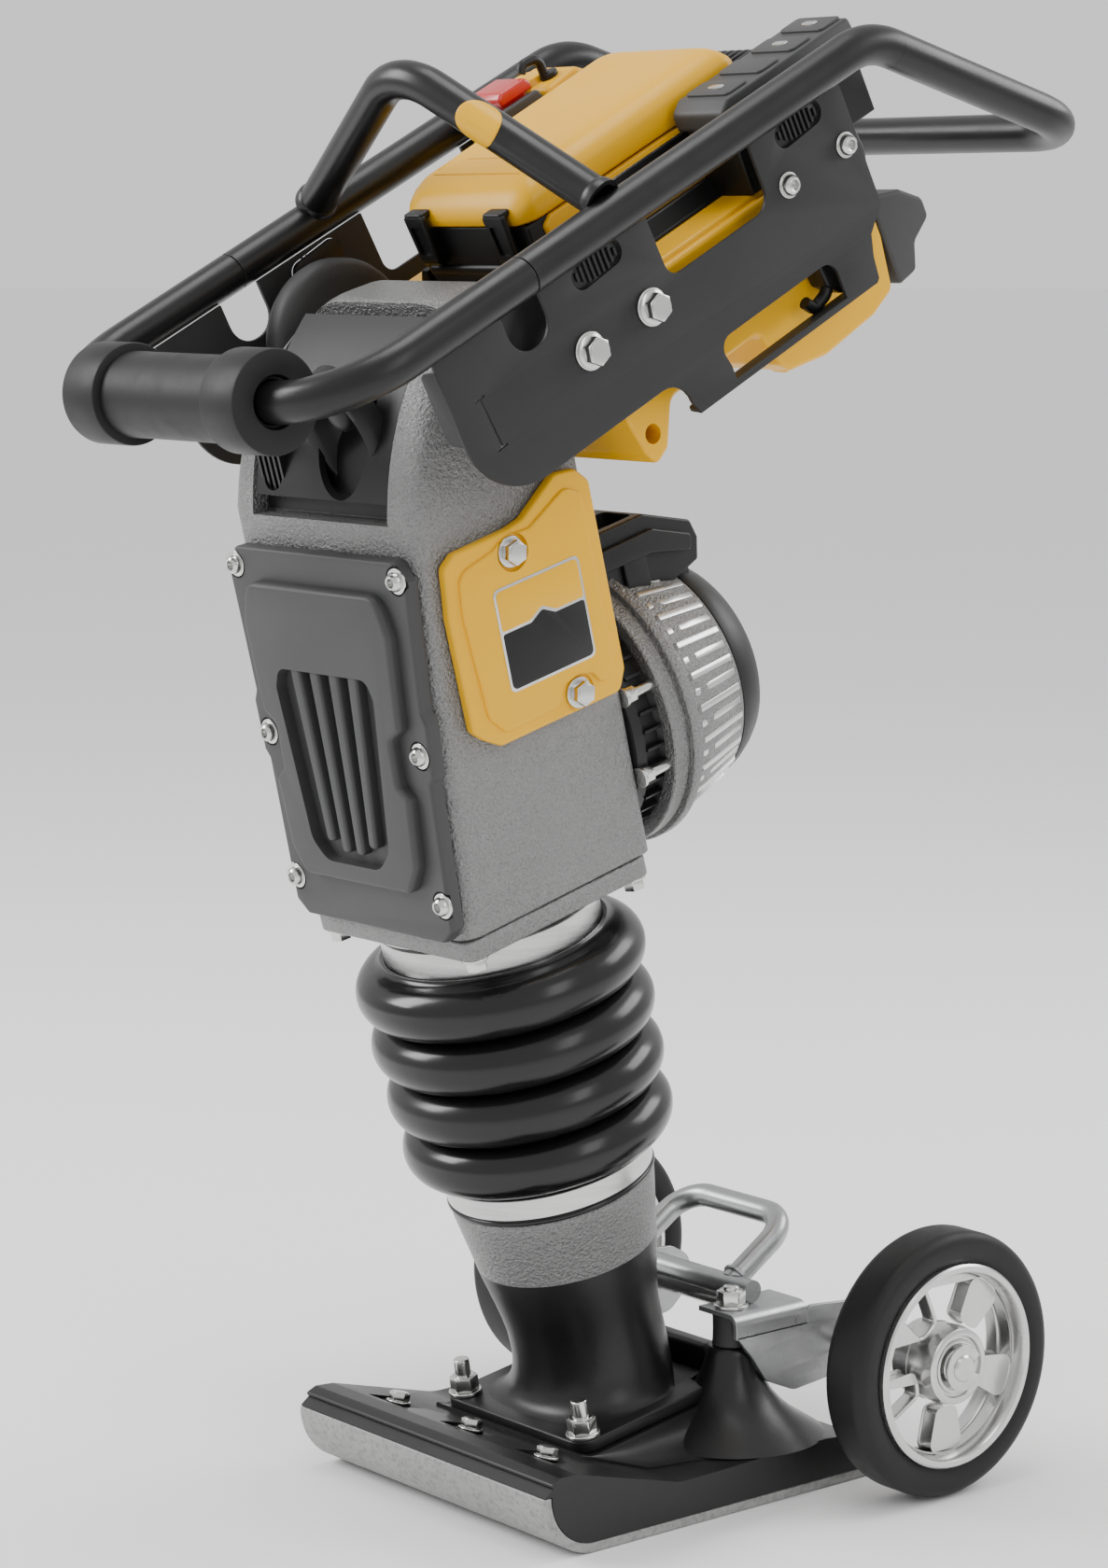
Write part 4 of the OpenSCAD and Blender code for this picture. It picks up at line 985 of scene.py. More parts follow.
motorSize = dict(w=560, guardFins=44, fins=35, finSweep=236, capMarks=12)


def buildMotor(s):
    place = legPlace @ Matrix.Translation((0, 0, s["w"])) @ Matrix.Rotation(-math.pi / 2, 4, "X")
    bm = bmesh.new()
    guard = [(0, 88.3), (90, 88.3), (94, 90), (94, 99), (90.5, 101), (90.5, 114), (94, 116.8),
             (10.3, 116.8)]
    lathe(bm, guard, steps=96)
    for i in range(s["guardFins"]):  # upright fins of the fan guard
        turn = Matrix.Rotation(math.tau * i / s["guardFins"], 4, "Z")
        slab(bm, boxOutline(89.5, -1.1, 95.4, 1.1), "z", 99.5, 115, place=turn)
    piece("motorAdapter", bm, place, "blackPlastic", "machine", ["motor_adapter"])
    bm = bmesh.new()
    for x in (-92, 92):
        for w in (-30, 30):
            spot = Matrix.Translation((x, w, 0))
            post(bm, 7.6, 88.2, 91, 0.5, spot, 32)
            hexPost(bm, 6.4, 91, 99, spot, 0.2)
            post(bm, 4, 98, 117, 0.5, spot, 24)
    piece("motorStuds", bm, place, "zinc", "machine")

    bm = bmesh.new()
    barrel = [(80.2, 117), (103, 117), (104, 118), (104, 129.5), (102.6, 131), (102.6, 132),
              (106.6, 132.8), (107.4, 134), (107.4, 140.5),
              (106.4, 141.6), (100.8, 142.6), (99.6, 146), (98.4, 158), (93, 180), (88.4, 198),
              (87.6, 201), (80.2, 201)]
    lathe(bm, barrel, steps=120, closed=True)
    piece("motorBarrel", bm, place, "castAlloy", "machine", ["motor_barrel"])
    bm = bmesh.new()
    for i in range(s["fins"]):  # cast fins that run back over the taper
        turn = Matrix.Rotation(math.radians(s["finSweep"] * (i / (s["fins"] - 1) - 0.5)), 4, "Z")
        tall = 3.4 if i % 2 else 2.2
        fin = [(146, 96), (150, 97.4 + tall), (168, 94 + tall), (196, 88 + tall), (199.5, 86)]
        slab(bm, [(r, v) for v, r in fin], "y", -2.6, 2.6, chamfer=0.8, segments=2, place=turn)
    piece("motorFins", bm, place, "machinedAlloy", "machine")
    bm = bmesh.new()
    cap = [(10.3, 201.2), (86, 201.2), (87.4, 202.6), (87.2, 206), (85.6, 212), (82, 220), (77, 228),
           (73.4, 231.4), (70, 232.6),
           (60, 233), (44, 231), (0, 230.4)]
    lathe(bm, cap, steps=96)
    for i in range(s["capMarks"]):
        turn = Matrix.Rotation(math.tau * i / s["capMarks"], 4, "Z")
        slab(bm, rounded(boxCorners(46, -2, 64, 2, 1)), "z", 230.5, 234.2, chamfer=0.6, place=turn)
    piece("motorCap", bm, place, "blackPlastic", "machine", ["motor_cap"])


buildMotor(motorSize)


connectorSize = dict(half=45, rail=50, sockets=((-37, -4), (4, 37)))


def buildConnector(s):
    bm = bmesh.new()
    sideView = rounded([(126, 662, 2), (126, 684, 5), (138, 692, 4), (180, 692.5, 5), (222, 674, 4),
                        (226, 660, 4), (222, 644, 3),
                        (196, 636, 4), (150, 640, 6)])
    slab(bm, sideView, "x", -s["half"], s["half"], chamfer=2.4, segments=4)
    slab(bm, rounded(boxCorners(132, 632, 218, 646, 4)), "x", -38, 38, chamfer=2)
    box = rawObject("connectorBox", bm)
    cutter = bmesh.new()
    for x0, x1 in s["sockets"]:
        slab(cutter, rounded(boxCorners(x0, 141, x1, 177, 5)), "z", 682, 720)
        slab(cutter, rounded(boxCorners(x0 + 3, 183, x1 - 3, 212, 4)), "z", 668, 720)
    cutWith(box, cutter)
    box.data.transform(legPlace)
    dress(box, "blackPlastic", "machine", ["connector_box"], edge=1.0)
    bm = bmesh.new()  # side rails and clips of the plug
    for side in (-1, 1):
        rail = rounded([(130, 664, 3), (132, 680, 4), (182, 681, 4), (216, 666, 3), (214, 654, 3),
                        (176, 664, 6)])
        slab(bm, rail, "x", side * (s["half"] + 0.2), side * s["rail"], chamfer=1.4, segments=3)
        clip = rounded(boxCorners(150, 640, 172, 668, 4))
        slab(bm, clip, "x", side * (s["half"] - 5), side * (s["rail"] - 1), chamfer=1.6, segments=3)
    slab(bm, rounded(boxCorners(-12, 214, 12, 229, 3)), "z", 648, 664, chamfer=1.6, segments=3)
    piece("connectorRails", bm, legPlace, "blackPlastic", "machine")


buildConnector(connectorSize)
print("motor built")

tubeSize = dict(r=14.25, x=164.3, t=885, seam=219.6, bendS=568, bendR=60, fall=42.7, fallLength=230.7,
                loopR=52,
                rollerS=47.6, frontR=64, bailS=305, bailR=13.5, bailSlope=33, bailBend=55, sides=44)


bendStep = math.radians(4)  # between the rings of a tube's bend


def buildTubes(s):
    x, t, r = s["x"], s["t"], s["r"]
    fall = math.radians(s["fall"])
    reach = s["bendR"] * math.tan(fall / 2) + 0.6
    fallEnd = (s["bendS"] + reach * math.cos(fall), t - reach * math.sin(fall))
    for side, name in ((1, "right"), (-1, "left")):
        bm = bmesh.new()
        corners = [(side * x, s["seam"] + 0.5, t, 0), (side * x, s["bendS"], t, s["bendR"]),
                   (side * x, *fallEnd, 0)]
        tube(bm, bentPath(corners, bendStep), r, s["sides"])
        post(bm, r - 0.9, s["seam"] - 3, s["seam"] + 3, 0.3, alongY(side * x, 0, t), 40)
        piece(name + "Rail", bm, railPlace, "tubeBlack", "handle", [name + "_rail"], edge=0.5)
    bm = bmesh.new()
    y = s["fallLength"]
    low = reach - 0.1
    corners = [(x, low, 0, 0), (x, y, 0, s["loopR"]), (-x, y, 0, s["loopR"]), (-x, low, 0, 0)]
    tube(bm, bentPath(corners, bendStep), r, s["sides"])
    fallPlace = railPlace @ Matrix.Translation((0, s["bendS"], t)) @ Matrix.Rotation(-fall, 4, "X")
    piece("rearCrossbar", bm, fallPlace, "tubeBlack", "handle", ["rear_crossbar"])
    bm = bmesh.new()
    corners = [(x, s["seam"] - 0.5, t, 0), (x, s["rollerS"], t, s["frontR"]),
               (-x, s["rollerS"], t, s["frontR"]),
               (-x, s["seam"] - 0.5, t, 0)]
    tube(bm, bentPath(corners, bendStep), r, s["sides"])
    piece("frontLoop", bm, railPlace, "tubeBlack", "handle", ["front_loop"], edge=0.5)

    bm = bmesh.new()
    slope = math.radians(s["bailSlope"])
    footX, footT = x - 9, t + 13.3
    rise = footX * math.tan(slope)
    corners = [(footX, s["bailS"], footT, 0), (0, s["bailS"], footT + rise, s["bailBend"]),
               (-footX, s["bailS"], footT, 0)]
    tube(bm, bentPath(corners, bendStep), s["bailR"], s["sides"])
    for side in (-1, 1):  # weld fillet where each foot meets its rail
        lean = Matrix.Translation((side * footX, s["bailS"],
                                   footT)) @ Matrix.Rotation(-side * (math.pi / 2 - slope), 4, "Y")
        weld = [(12, -5), (15.6, -5), (15.4, -1), (14.6, 1.6), (13.8, 3), (13.2, 3.6), (12, 3.6)]
        lathe(bm, weld, lean, 48, closed=True)
    piece("liftingBail", bm, railPlace, "tubeBlack", "handle", ["lifting_bail"])
    bm = bmesh.new()  # plain yellow disc wrapped on the leg of the bail
    disc = [(2.5 * i, 0.35) for i in range(8)] + [(18, 0.2), (18, -0.4)]
    disc += [(17.5 - 2.5 * i, -0.4) for i in range(8)]
    lathe(bm, disc, steps=48)
    wrap = s["bailR"] + 0.1
    for v in bm.verts:
        angle = v.co.y / wrap
        v.co = (v.co.x, math.sin(angle) * (wrap + v.co.z), math.cos(angle) * (wrap + v.co.z))
    spot = Matrix.Translation((footX * 0.46, s["bailS"], footT + rise * 0.54))
    turn = Matrix.Rotation(slope, 4, "Y") @ Matrix.Rotation(math.radians(52), 4, "X")
    piece("bailDisc", bm, railPlace @ spot @ turn, "yellowPlastic", "handle")

    bm = bmesh.new()
    half = [(29, 0), (29, 40), (29.3, 61.6), (32.6, 62), (34.3, 62.5), (34.8, 64), (34.8, 97.6),
            (34.3, 99.2), (33.2, 99.7),
            (18, 99.7), (16.4, 96), (15, 95.6)]
    wheel = [(r0, -x0) for r0, x0 in reversed(half)] + half[1:]
    lathe(bm, wheel, alongX(0, s["rollerS"], t), 80, closed=True)
    piece("frontRoller", bm, railPlace, "tyreRubber", "roller", ["front_roller"], smooth=30)


buildTubes(tubeSize)
print("tubes built")

plateSize = dict(low=155, high=158, top=871.9, slots=(264, 469), slit=(156, 811, 19), bolt=(312, 812.5),
                 screws=((460.8, 827), (521.4, 827)), slotRibs=9)


def plateOutline(s):
    top = s["top"]
    edge = [(131, top), (130, 812)] + arcPoints(181, 808, 51, 180, 270, 14) + [(290, 757)]
    edge += arcPoints(296, 737, 20, 90, 0, 6)
    edge += [(320, 726.6), (507, 726.6), (510, 729), (512, 745), (517, 760), (524, 766), (531, 771), (535, 776)]
    edge += [(535, top), (440, top)]  # the two notches of the upper edge follow
    edge += arcPoints(426, 835, 14, 0, -90, 8) + arcPoints(347, 832, 11, 270, 182, 8)
    edge += [(335, top), (230, top)]
    edge += arcPoints(214, 852, 16, 0, -90, 8) + arcPoints(212, 854, 18, 270, 180, 8) + [(194, top)]
    window = [(359, 731.5), (359, 742)] + arcPoints(367, 752, 10, 200, 90, 8)
    window += arcPoints(464, 750, 12, 90, 0, 8) + [(476, 731.5)]
    holes = [window]
    for a in s["slots"]:
        holes.append(arcPoints(a + 4, 859, 9, 90, 270, 12) + arcPoints(a + 34, 861, 9, -90, 90, 12))
    a, t, half = s["slit"]
    lean = Matrix.Translation((a, t, 0)) @ Matrix.Rotation(math.radians(4), 4, "Z")
    mark = [(-0.8, -half + 1), (-0.8, half - 1), (-4.5, half - 1), (-4.5, half + 0.4), (4.5, half + 0.4),
            (4.5, half - 1),
            (0.8, half - 1), (0.8, -half + 1), (4.5, -half + 1), (4.5, -half - 0.4), (-4.5, -half - 0.4),
            (-4.5, -half + 1)]
    holes.append([tuple((lean @ Vector((p, q, 0)))[:2]) for p, q in mark])
    return [edge] + holes


def buildPlate(s, side, name):
    place = railPlace if side > 0 else railPlace @ mirrorX
    bm = bmesh.new()
    sheetMetal(bm, plateOutline(s), "x", s["low"], s["high"], edge=0.5, segments=2)
    slab(bm, rounded([(141, 322, 6), (157.4, 320, 0), (157.4, 507, 0), (141, 505, 6)]), "z", 726.4, 729.2,
         chamfer=0.5)
    slab(bm, rounded([(140, 808, 5), (157.2, 806, 0), (157.2, 862, 0), (140, 860, 5)]), "y", 130.2, 133,
         chamfer=0.5)
    bend = [(142, 133), (140.5, 136), (156, 136), (156, 130.4)]
    slab(bm, bend, "z", 812, 856, chamfer=0.4)
    piece(name + "SidePlate", bm, place, "plateGrey", "handle", [name + "_side_plate"])
    bm = bmesh.new()  # black ribbed inserts in the slots
    for a in s["slots"]:
        pill = arcPoints(a + 4, 859, 8.6, 90, 270, 12) + arcPoints(a + 34, 861, 8.6, -90, 90, 12)
        slab(bm, pill, "x", s["low"] - 4, s["low"] + 0.6, chamfer=0.3)
        for i in range(s["slotRibs"]):
            rib = a + 0.5 + 4.6 * i
            fromEnd = min(i, s["slotRibs"] - 1 - i)
            half = (3, 5.6, 8)[min(fromEnd, 2)]  # the ribs follow the slot's round ends
            bar = rounded(boxCorners(rib - 1, 860 - half, rib + 1, 860 + half, 0.8))
            slab(bm, bar, "x", s["low"] + 0.2, s["high"] - 0.5, chamfer=0.4)
    piece(name + "PlateGrips", bm, place, "blackPlastic", "handle")


buildPlate(plateSize, 1, "right")
buildPlate(plateSize, -1, "left")


def buildPlateBolts(s):
    for name, node, spot, reach in (("pivotBolts", "pivot_bolts", pivotSpot, 82),
                                    ("plateBolts", "plate_bolts", s["bolt"], 39)):
        bm = bmesh.new()
        for side in (-1, 1):
            out = outFrom(side, s["high"], *spot)
            post(bm, 13.2, 0, 2.2, 0.7, out, 48)
            lathe(bm, [(0, 2), (11.8, 2), (11.8, 3.4), (10, 4.6), (0, 4.6)], out, 44)
            hexPost(bm, 10.3, 4, 11, out, 0.3)
            post(bm, 8.4, 10.4, 11.8, 0.5, out, 36)
            post(bm, 8, -reach, 0.2, 0.5, out, 32)
            for small in s["screws"] if name == "plateBolts" else ():
                out = outFrom(side, s["high"], *small)
                post(bm, 9.2, 0, 1.4, 0.5, out, 44)
                head = [(0, 3), (3.3, 3), (3.6, 7), (4.6, 7.3), (6.4, 6.2), (7.4, 3.8), (7.5, 1.2),
                        (0, 1.2)]
                lathe(bm, head, out, 40)
                post(bm, 5, -8, 0.2, 0.5, out, 24)
        piece(name, bm, railPlace, "zinc", "handle", [node])


buildPlateBolts(plateSize)


mountSize = dict(bore=8.3, inner=22, cup=60, low=106.7, high=154.7)


def buildMounts(s):
    bm = bmesh.new()  # rubber mounts with their wide black cups
    low, high, cup, inner = s["low"], s["high"], s["cup"], s["inner"]
    outline = [(s["bore"], low), (20, low), (27, 107.2), (46, 107.6), (cup - 5, 108.6), (cup - 1.4, 111),
               (cup, 115),
               (cup, 124), (cup - 1.4, 128), (cup - 5, 130.4), (46, 131), (27, 131.6), (inner + 1.5, 134),
               (inner, 139), (inner, high - 1.7), (inner - 1.4, high), (s["bore"], high)]
    for side in (-1, 1):
        lathe(bm, outline, outFrom(side, 0, *pivotSpot), 80, closed=True)
    piece("shockMounts", bm, railPlace, "mountRubber", "machine", ["shock_mounts"])


buildMounts(mountSize)
print("plates built")

unitSize = dict(x=128, deck=821.5, ventFins=27, ventGap=8, footX=(-96, -32, 32, 96),
                padS=(466, 500, 534, 566))


def buildPowerUnit(s):
    bm = bmesh.new()
    tub = rounded([(283, 818, 4), (281, 740, 8), (286, 712, 8), (292, 700, 5), (306, 706, 8),
                   (324, 735, 10), (415, 735, 8), (423, 706, 8),
                   (431, 697, 6), (467, 690, 10), (520, 693, 12), (545, 701, 8), (552, 740, 8),
                   (552, 818, 4)], 5)
    slab(bm, tub, "x", -s["x"], s["x"], chamfer=7, segments=5)
    slab(bm, rounded(boxCorners(-s["x"] + 6, 289, s["x"] - 6, 548, 12)), "z", 800, s["deck"], chamfer=3,
         segments=3)
    unit = rawObject("powerUnit", bm)
    cutter = bmesh.new()
    lathe(cutter, [(0, -160), (7, -160), (7, 160), (0, 160)], alongX(0, 297, 722), 40)
    cutWith(unit, cutter)
    cutter = bmesh.new()  # seam between the halves of the housing
    slab(cutter, boxOutline(-140, 760, 140, 760.9), "y", 270, 283.2)
    cutWith(unit, cutter)
    unit.data.transform(railPlace)
    dress(unit, "yellowPlastic", "handle", ["power_unit"], edge=1.0)
    bm = bmesh.new()  # feet below the tub
    for x in s["footX"]:
        foot = rounded([(436, 698, 3), (512, 692, 3), (508, 684, 5), (446, 686, 5)])
        slab(bm, foot, "x", x - 7, x + 7, chamfer=2.4, segments=3)
    piece("tubFeet", bm, railPlace, "yellowPlastic", "handle")
    bm = bmesh.new()  # black shelf that the battery slides on
    slab(bm, rounded(boxCorners(-92, 300, 92, 540, 8)), "z", s["deck"] - 1, s["deck"] + 2.5, chamfer=1)
    for side in (-1, 1):
        slab(bm, rounded([(side * 78, s["deck"], 0), (side * 78, s["deck"] + 14, 2),
                          (side * 84, s["deck"] + 14, 2),
                          (side * 92, s["deck"], 0)]), "y", 316, 530, chamfer=1)
    piece("batteryShelf", bm, railPlace, "blackPlastic", "handle")

    bm = bmesh.new()
    vent = rounded([(540, 821.7, 0), (540, 868, 6), (548, 874, 6), (580, 874, 12), (590, 862, 12),
                    (592, 821.7, 0)])
    slab(bm, vent, "x", -110, 110, chamfer=3, segments=3)
    fin = rounded([(544, 850, 1), (544, 872, 5), (550, 877, 5), (581, 877, 12), (593, 864, 10),
                   (593, 836, 1)])
    for i in range(s["ventFins"]):
        x = s["ventGap"] * (i - (s["ventFins"] - 1) / 2)
        slab(bm, fin, "x", x - 1.6, x + 1.6, chamfer=0.7)
    box = rounded([(456, 821.7, 0), (456, 872, 6), (464, 879.5, 3), (588, 879.5, 6), (588, 821.7, 0)])
    slab(bm, box, "x", 80, 126, chamfer=2.5, segments=3)
    piece("rearVent", bm, railPlace, "blackPlastic", "handle", ["rear_vent"])
    bm = bmesh.new()  # grey control strip with blank pads
    strip = rounded([(452, 866, 4), (452, 886, 6), (462, 893, 4), (590, 893, 4), (592, 880, 3),
                     (466, 880, 6)])
    slab(bm, strip, "x", 76, s["x"], chamfer=2, segments=3)
    for start in s["padS"]:
        slab(bm, rounded(boxCorners(80, start, 124, start + 22, 4)), "z", 892, 895, chamfer=1.2,
             segments=3)
    piece("controlStrip", bm, railPlace, "greyPlastic", "handle")
    bm = bmesh.new()
    for i in (0, 2, 3):  # the second pad has no light
        middle = s["padS"][i] + 11
        slab(bm, rounded(boxCorners(95, middle - 3, 109, middle + 3, 2.9)), "z", 894.6, 895.6,
             chamfer=0.4)
    piece("controlPads", bm, railPlace, "zinc", "handle")
    bm = bmesh.new()
    bumper = rounded([(552.4, 700, 3), (572, 702, 6), (580, 721, 8), (600, 731, 6), (600, 746, 8),
                      (582, 762, 8), (552.4, 771, 3)])
    slab(bm, bumper, "x", -s["x"], s["x"], chamfer=5, segments=4)
    upper = rounded([(552.4, 776, 3), (566, 776, 4), (572, 800, 6), (570, 815, 4), (552.4, 818, 3)])
    slab(bm, upper, "x", -s["x"] + 8, s["x"] - 8, chamfer=3, segments=3)
    piece("rearBumper", bm, railPlace, "greyPlastic", "handle", ["rear_bumper"], edge=0.6)
    bm = bmesh.new()  # black hook seen in the lower window of the plate
    tube(bm, bentPath([(141, 478, 766, 0), (141, 478, 737, 12), (141, 458, 732, 5), (141, 452, 740, 0)]),
         4.6, 24)
    guide = rounded([(470, 764, 4), (488, 764, 4), (494, 738, 6), (484, 730, 3), (472, 742, 3)])
    slab(bm, guide, "x", 129, 147, chamfer=2, segments=3)
    piece("cableHook", bm, railPlace, "blackPlastic", "handle")


buildPowerUnit(unitSize)
print("power unit built")

batterySize = dict(x=68, low=306, high=536, latchX=44, latchLow=852,
                   lines=((-48, 332, 48, 333), (-48, 332, -47, 350), (47, 332, 48, 350),
                          (-30, 352, 30, 353),
                          (-56, 372, -55, 402), (55, 372, 56, 402), (-56, 462, -55, 492),
                          (55, 462, 56, 492)))


def buildBattery(s):
    def ring(inset, height, soft):
        corners = [(s["x"] - inset, s["low"] + inset, soft), (s["x"] - inset, s["high"] - inset, soft),
                   (-s["x"] + inset, s["high"] - inset, soft), (-s["x"] + inset, s["low"] + inset, soft)]
        return [(x, y, height(y)) for x, y in rounded(corners, 8)]

    def crown(y, drop=0.0):  # height of the cap along its length
        if y < 352:
            return 905 - (352 - y) ** 2 * 0.0056 - drop
        if y > 516:
            return 906 - (y - 516) ** 2 * 0.016 - drop
        return 905 + (y - 352) / 164 - drop

    rings = [ring(3, lambda y: 874.2, 16), ring(0.6, lambda y: 876, 17), ring(0, lambda y: 879, 17)]
    for inset, drop in ((0, 12), (1.4, 8.6), (5, 4.8), (10, 1.8), (14, 0.5), (20, 0), (28, 0), (40, 0)):
        rings.append(ring(inset, lambda y, d=drop: max(crown(y, d), 881), max(17 - inset * 0.2, 8)))
    bm = bmesh.new()
    loft(bm, rings)
    cap = rawObject("batteryCap", bm)
    cutter = bmesh.new()  # fine engraved lines
    for x0, y0, x1, y1 in s["lines"]:
        depth = crown((y0 + y1) / 2) - 0.7
        slab(cutter, boxOutline(x0, y0, x1, y1), "z", depth, depth + 9)
    cutWith(cap, cutter)
    cap.data.transform(railPlace)
    dress(cap, "yellowPlastic", "battery_pack", ["battery"], edge=0.4, smooth=30)
    bm = bmesh.new()
    case = rounded([(312, 825, 5), (308, 846, 4), (309, 873.8, 2), (533, 873.8, 2), (531, 825, 5)])
    slab(bm, case, "x", -64, 64, chamfer=5, segments=4)
    slab(bm, rounded([(306, 838, 2), (306, 844, 3), (318, 848, 2), (318, 836, 2)]), "x", -58, 58,
         chamfer=1.4, segments=3)
    piece("batteryCase", bm, railPlace, "blackPlastic", "battery_pack")
    bm = bmesh.new()
    for side in (-1, 1):
        cheek = rounded([(326, 826, 4), (322, 868, 4), (330, 873, 3), (520, 873, 3), (526, 868, 4),
                         (522, 826, 4)])
        slab(bm, cheek, "x", side * 60, side * 67.4, chamfer=2.4, segments=4)
        corner = rounded([(500, 824, 3), (496, 866, 6), (500, 873.6, 2), (530, 873.6, 2), (528, 824, 3)])
        slab(bm, corner, "x", side * 60, side * 70, chamfer=2.6, segments=4)
    piece("batteryCheeks", bm, railPlace, "yellowPlastic", "battery_pack")
    for name, depth, finish, grow in (("badgeBorder", 67.9, "zinc", 1.1),
                                      ("badgeFace", 68.3, "blackPlastic", 0)):
        bm = bmesh.new()  # blank shaped badge on each flank
        for side in (-1, 1):
            face = [(372 - grow, 846 - grow, 3), (428, 842 - grow, 2), (436, 846 - grow, 2),
                    (474 + grow, 846 - grow, 3),
                    (484 + grow, 856, 5), (478 + grow, 868 + grow, 3), (362 - grow, 868 + grow, 3),
                    (358 - grow, 858, 4)]
            slab(bm, rounded(face), "x", side * 66, side * depth, chamfer=0.25)
        piece(name, bm, railPlace, finish, "battery_pack")
    for side, name in ((-1, "left"), (1, "right")):
        bm = bmesh.new()
        place = railPlace @ Matrix.Translation((s["latchX"] * side, 0, 0))
        clip = rounded([(-9.5, s["latchLow"], 3), (9.5, s["latchLow"], 3), (11, 887, 3), (-11, 887, 3)])
        slab(bm, clip, "y", 298.4, 303.4, chamfer=1.4, segments=4)
        slab(bm, rounded(boxCorners(-9.8, 298.6, 9.8, 309, 2.4)), "z", 884, 888.6, chamfer=1.2,
             segments=3)
        latch = rawObject(name + "Latch", bm)
        cutter = bmesh.new()
        slab(cutter, rounded([(-5.6, 857, 2), (5.6, 857, 2), (6.4, 879, 2), (-6.4, 879, 2)]), "y", 290,
             300.4)
        cutWith(latch, cutter)
        latch.data.transform(place)
        dress(latch, "blackPlastic", "latch_" + name, [name + "_latch"], edge=0.4)
        bm = bmesh.new()
        post(bm, 5, -8.6, 8.6, 0.8, alongX(0, 304, s["latchLow"]), 32)
        piece(name + "LatchPin", bm, place, "blackPlastic", "latch_" + name)


buildBattery(batterySize)

switchSize = dict(low=-146, high=-96, holeLow=-136, holeHigh=-106, hookX=-112)


def buildSwitch(s):
    bm = bmesh.new()
    body = rounded([(418, 822, 4), (424, 852, 10), (440, 870, 8), (452, 879, 4), (486, 880, 6),
                    (491, 893, 6), (522, 896, 8), (532, 888, 6),
                    (534, 822, 4)], 6)
    slab(bm, body, "x", s["low"], s["high"], chamfer=6, segments=5)
    lathe(bm, [(0, 880), (13, 880), (15, 884), (15, 893), (12, 898), (0, 900)],
          Matrix.Translation((-130, 500, 0)), 40)
    piece("switchBox", bm, railPlace, "yellowPlastic", "handle", ["switch_box"], smooth=45)
    bm = bmesh.new()
    blockSide = rounded([(446, 868, 3), (444, 888, 4), (450, 896, 4), (484, 896, 4), (488, 888, 3),
                         (488, 872, 3)])
    slab(bm, blockSide, "x", s["low"] + 3, s["high"] - 3, chamfer=2.4, segments=4)
    block = rawObject("buttonBlock", bm)
    cutter = bmesh.new()
    slab(cutter, boxOutline(s["holeLow"], 454, s["holeHigh"], 482), "z", 878, 920)
    slab(cutter, boxOutline(-139.4, 448.4, -102.6, 485.8), "z", 892.4, 920)
    cutWith(block, cutter)
    block.data.transform(railPlace)
    dress(block, "greyPlastic", "handle")
    bm = bmesh.new()
    cap = rounded([(452, 897, 0), (450, 903, 4), (455, 907, 4), (480, 907, 4), (484, 903, 4),
                   (484, 897, 0)])
    slab(bm, cap, "x", s["holeLow"] - 2, s["holeHigh"] + 2, chamfer=2.2, segments=4)
    slab(bm, rounded(boxCorners(s["holeLow"] + 2, 456, s["holeHigh"] - 2, 480, 3)), "z", 886, 900)
    piece("stopButton", bm, railPlace, "redPlastic", "stop_switch", ["stop_button"])
    bm = bmesh.new()
    x = s["hookX"]
    tube(bm, bentPath([(x, 504, 888, 0), (x, 504, 912, 8), (x, 488, 914, 6), (x, 484, 908, 0)]), 3.6, 24)
    post(bm, 7, 890, 899, 1.5, Matrix.Translation((x, 508, 0)), 36)
    piece("switchHook", bm, railPlace, "blackPlastic", "handle")


buildSwitch(switchSize)
print("handle built")


# The hidden works keep their frame shapes and get their finishes
innerFinish = {"lower_spring": "springSteel", "upper_spring": "springSteel", "guide_bush": "bronze",
               "piston_rod": "springSteel",
               "crank_gear": "springSteel", "connecting_rod": "springSteel", "crank_bearings": "zinc",
               "motor_rotor": "springSteel",
               "motor_stator": "copper"}
for node, finish in innerFinish.items():
    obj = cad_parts[node]
    obj.data.materials.clear()
    obj.data.materials.append(finishes[finish])


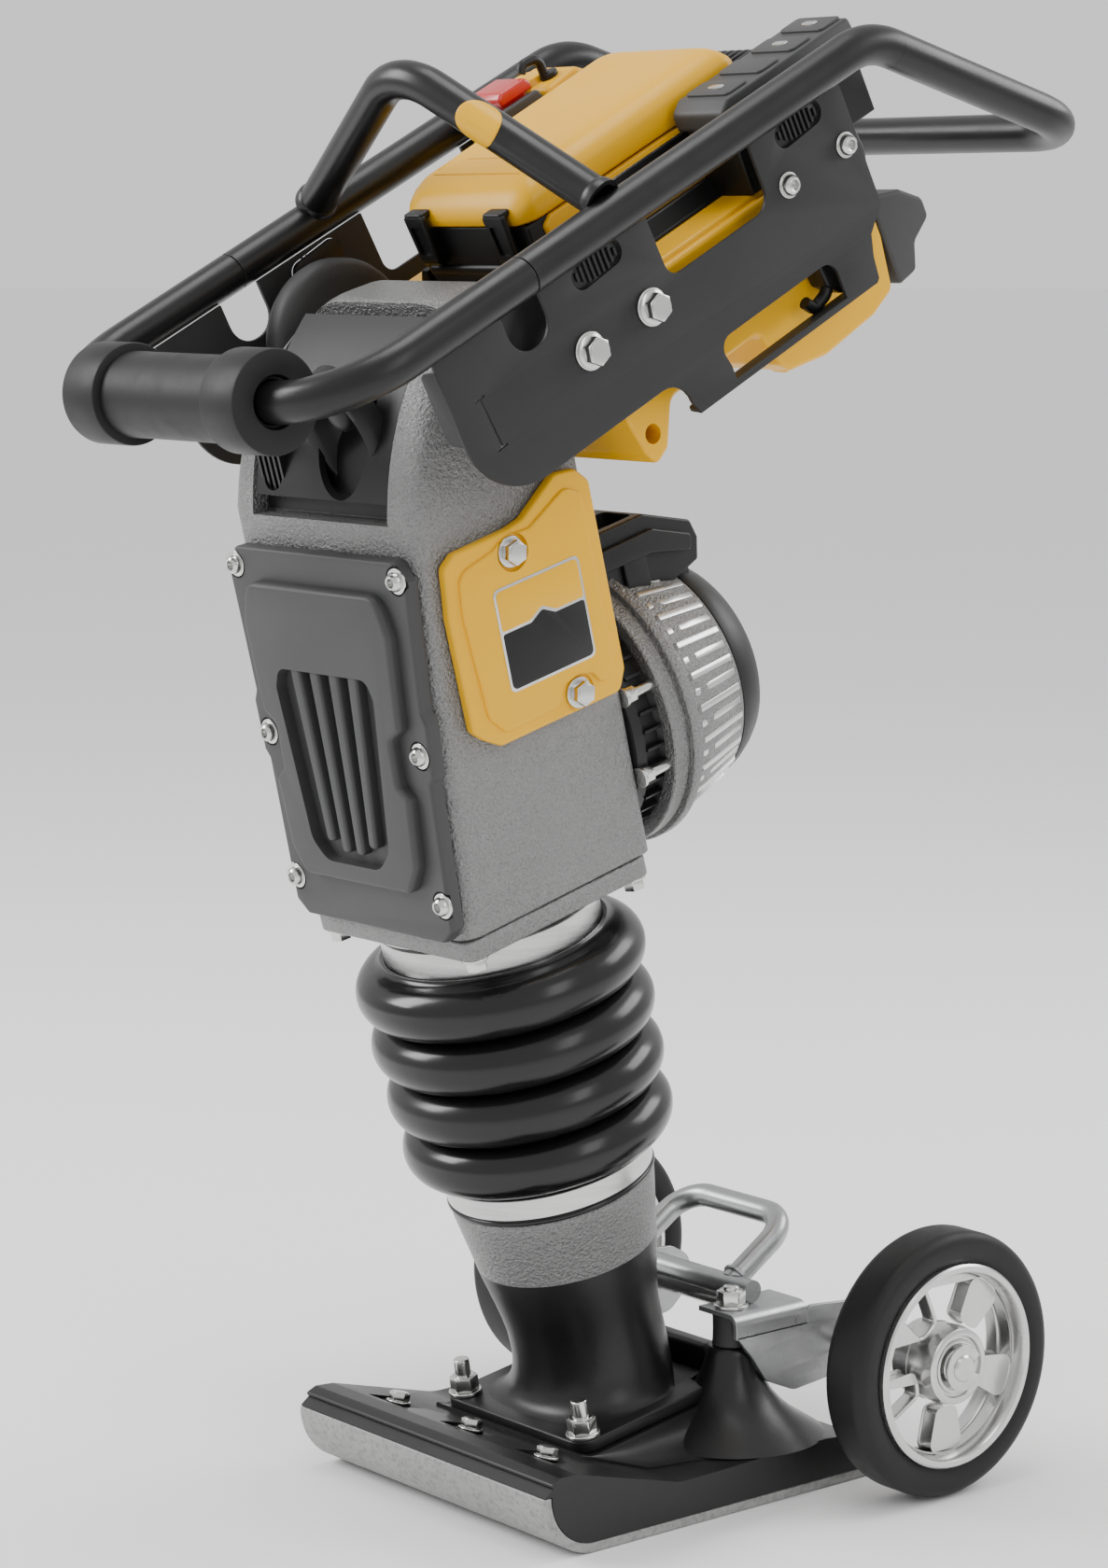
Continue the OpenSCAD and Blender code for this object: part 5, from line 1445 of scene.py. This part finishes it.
studio = dict(floor=60, ambient=0.95)
lamps = {  # place, aimed at, width and height, watts
    "keyPanel": ((-2.2, -2.4, 2.4), (0, -0.05, 0.55), (1.3, 1.9), 110),
    "sidePanel": ((2.9, -0.2, 2.0), (0, 0, 0.55), (0.9, 2.0), 16),
    "backPanel": ((0.9, 2.6, 2.2), (0, 0, 0.6), (2.0, 1.2), 45),
    "topPanel": ((0, -0.2, 3.4), (0, 0, 0.4), (1.4, 1.4), 34),
}


def areaLight(name, spot, target, size, power):
    lamp = bpy.data.lights.new(name, "AREA")
    lamp.shape = "RECTANGLE"
    lamp.size, lamp.size_y = size
    lamp.energy = power
    obj = bpy.data.objects.new(name, lamp)
    bpy.context.scene.collection.objects.link(obj)
    obj.location = spot
    obj.rotation_euler = (Vector(target) - Vector(spot)).to_track_quat("-Z", "Y").to_euler()


def buildStudio(s):
    bm = bmesh.new()
    bmesh.ops.create_grid(bm, x_segments=2, y_segments=2, size=s["floor"])
    ground = rawObject("ground", bm, normals=False)
    ground.data.transform(Matrix.Translation((0, 0, -0.0005)))  # just under the shoe
    paper = makeFinish("paper", dict(colour=(0.95, 0.95, 0.95), worn=(0.93, 0.93, 0.93), rough=0.75,
                                     cloudScale=2, fineScale=300,
                                     speckle=0.1))
    ground.data.materials.append(paper)
    world = bpy.data.worlds.new("studio")
    bpy.context.scene.world = world
    world.use_nodes = True
    sky = world.node_tree.nodes["Background"]
    sky.inputs["Color"].default_value = (1, 1, 1, 1)
    sky.inputs["Strength"].default_value = s["ambient"]
    for name, lamp in lamps.items():
        areaLight(name, *lamp)


buildStudio(studio)

view = dict(focal=90, sensor=36, spot=(2.1546, -1.8451, 0.917), tilt=81.93, turn=50.25)
lens = bpy.data.cameras.new("view")
lens.lens = view["focal"]
lens.sensor_width = view["sensor"]
lens.sensor_fit = "AUTO"
lens.clip_end = 60
viewer = bpy.data.objects.new("view", lens)
bpy.context.scene.collection.objects.link(viewer)
viewer.location = view["spot"]
viewer.rotation_euler = (math.radians(view["tilt"]), 0, math.radians(view["turn"]))
bpy.context.scene.camera = viewer


print("scene ready")
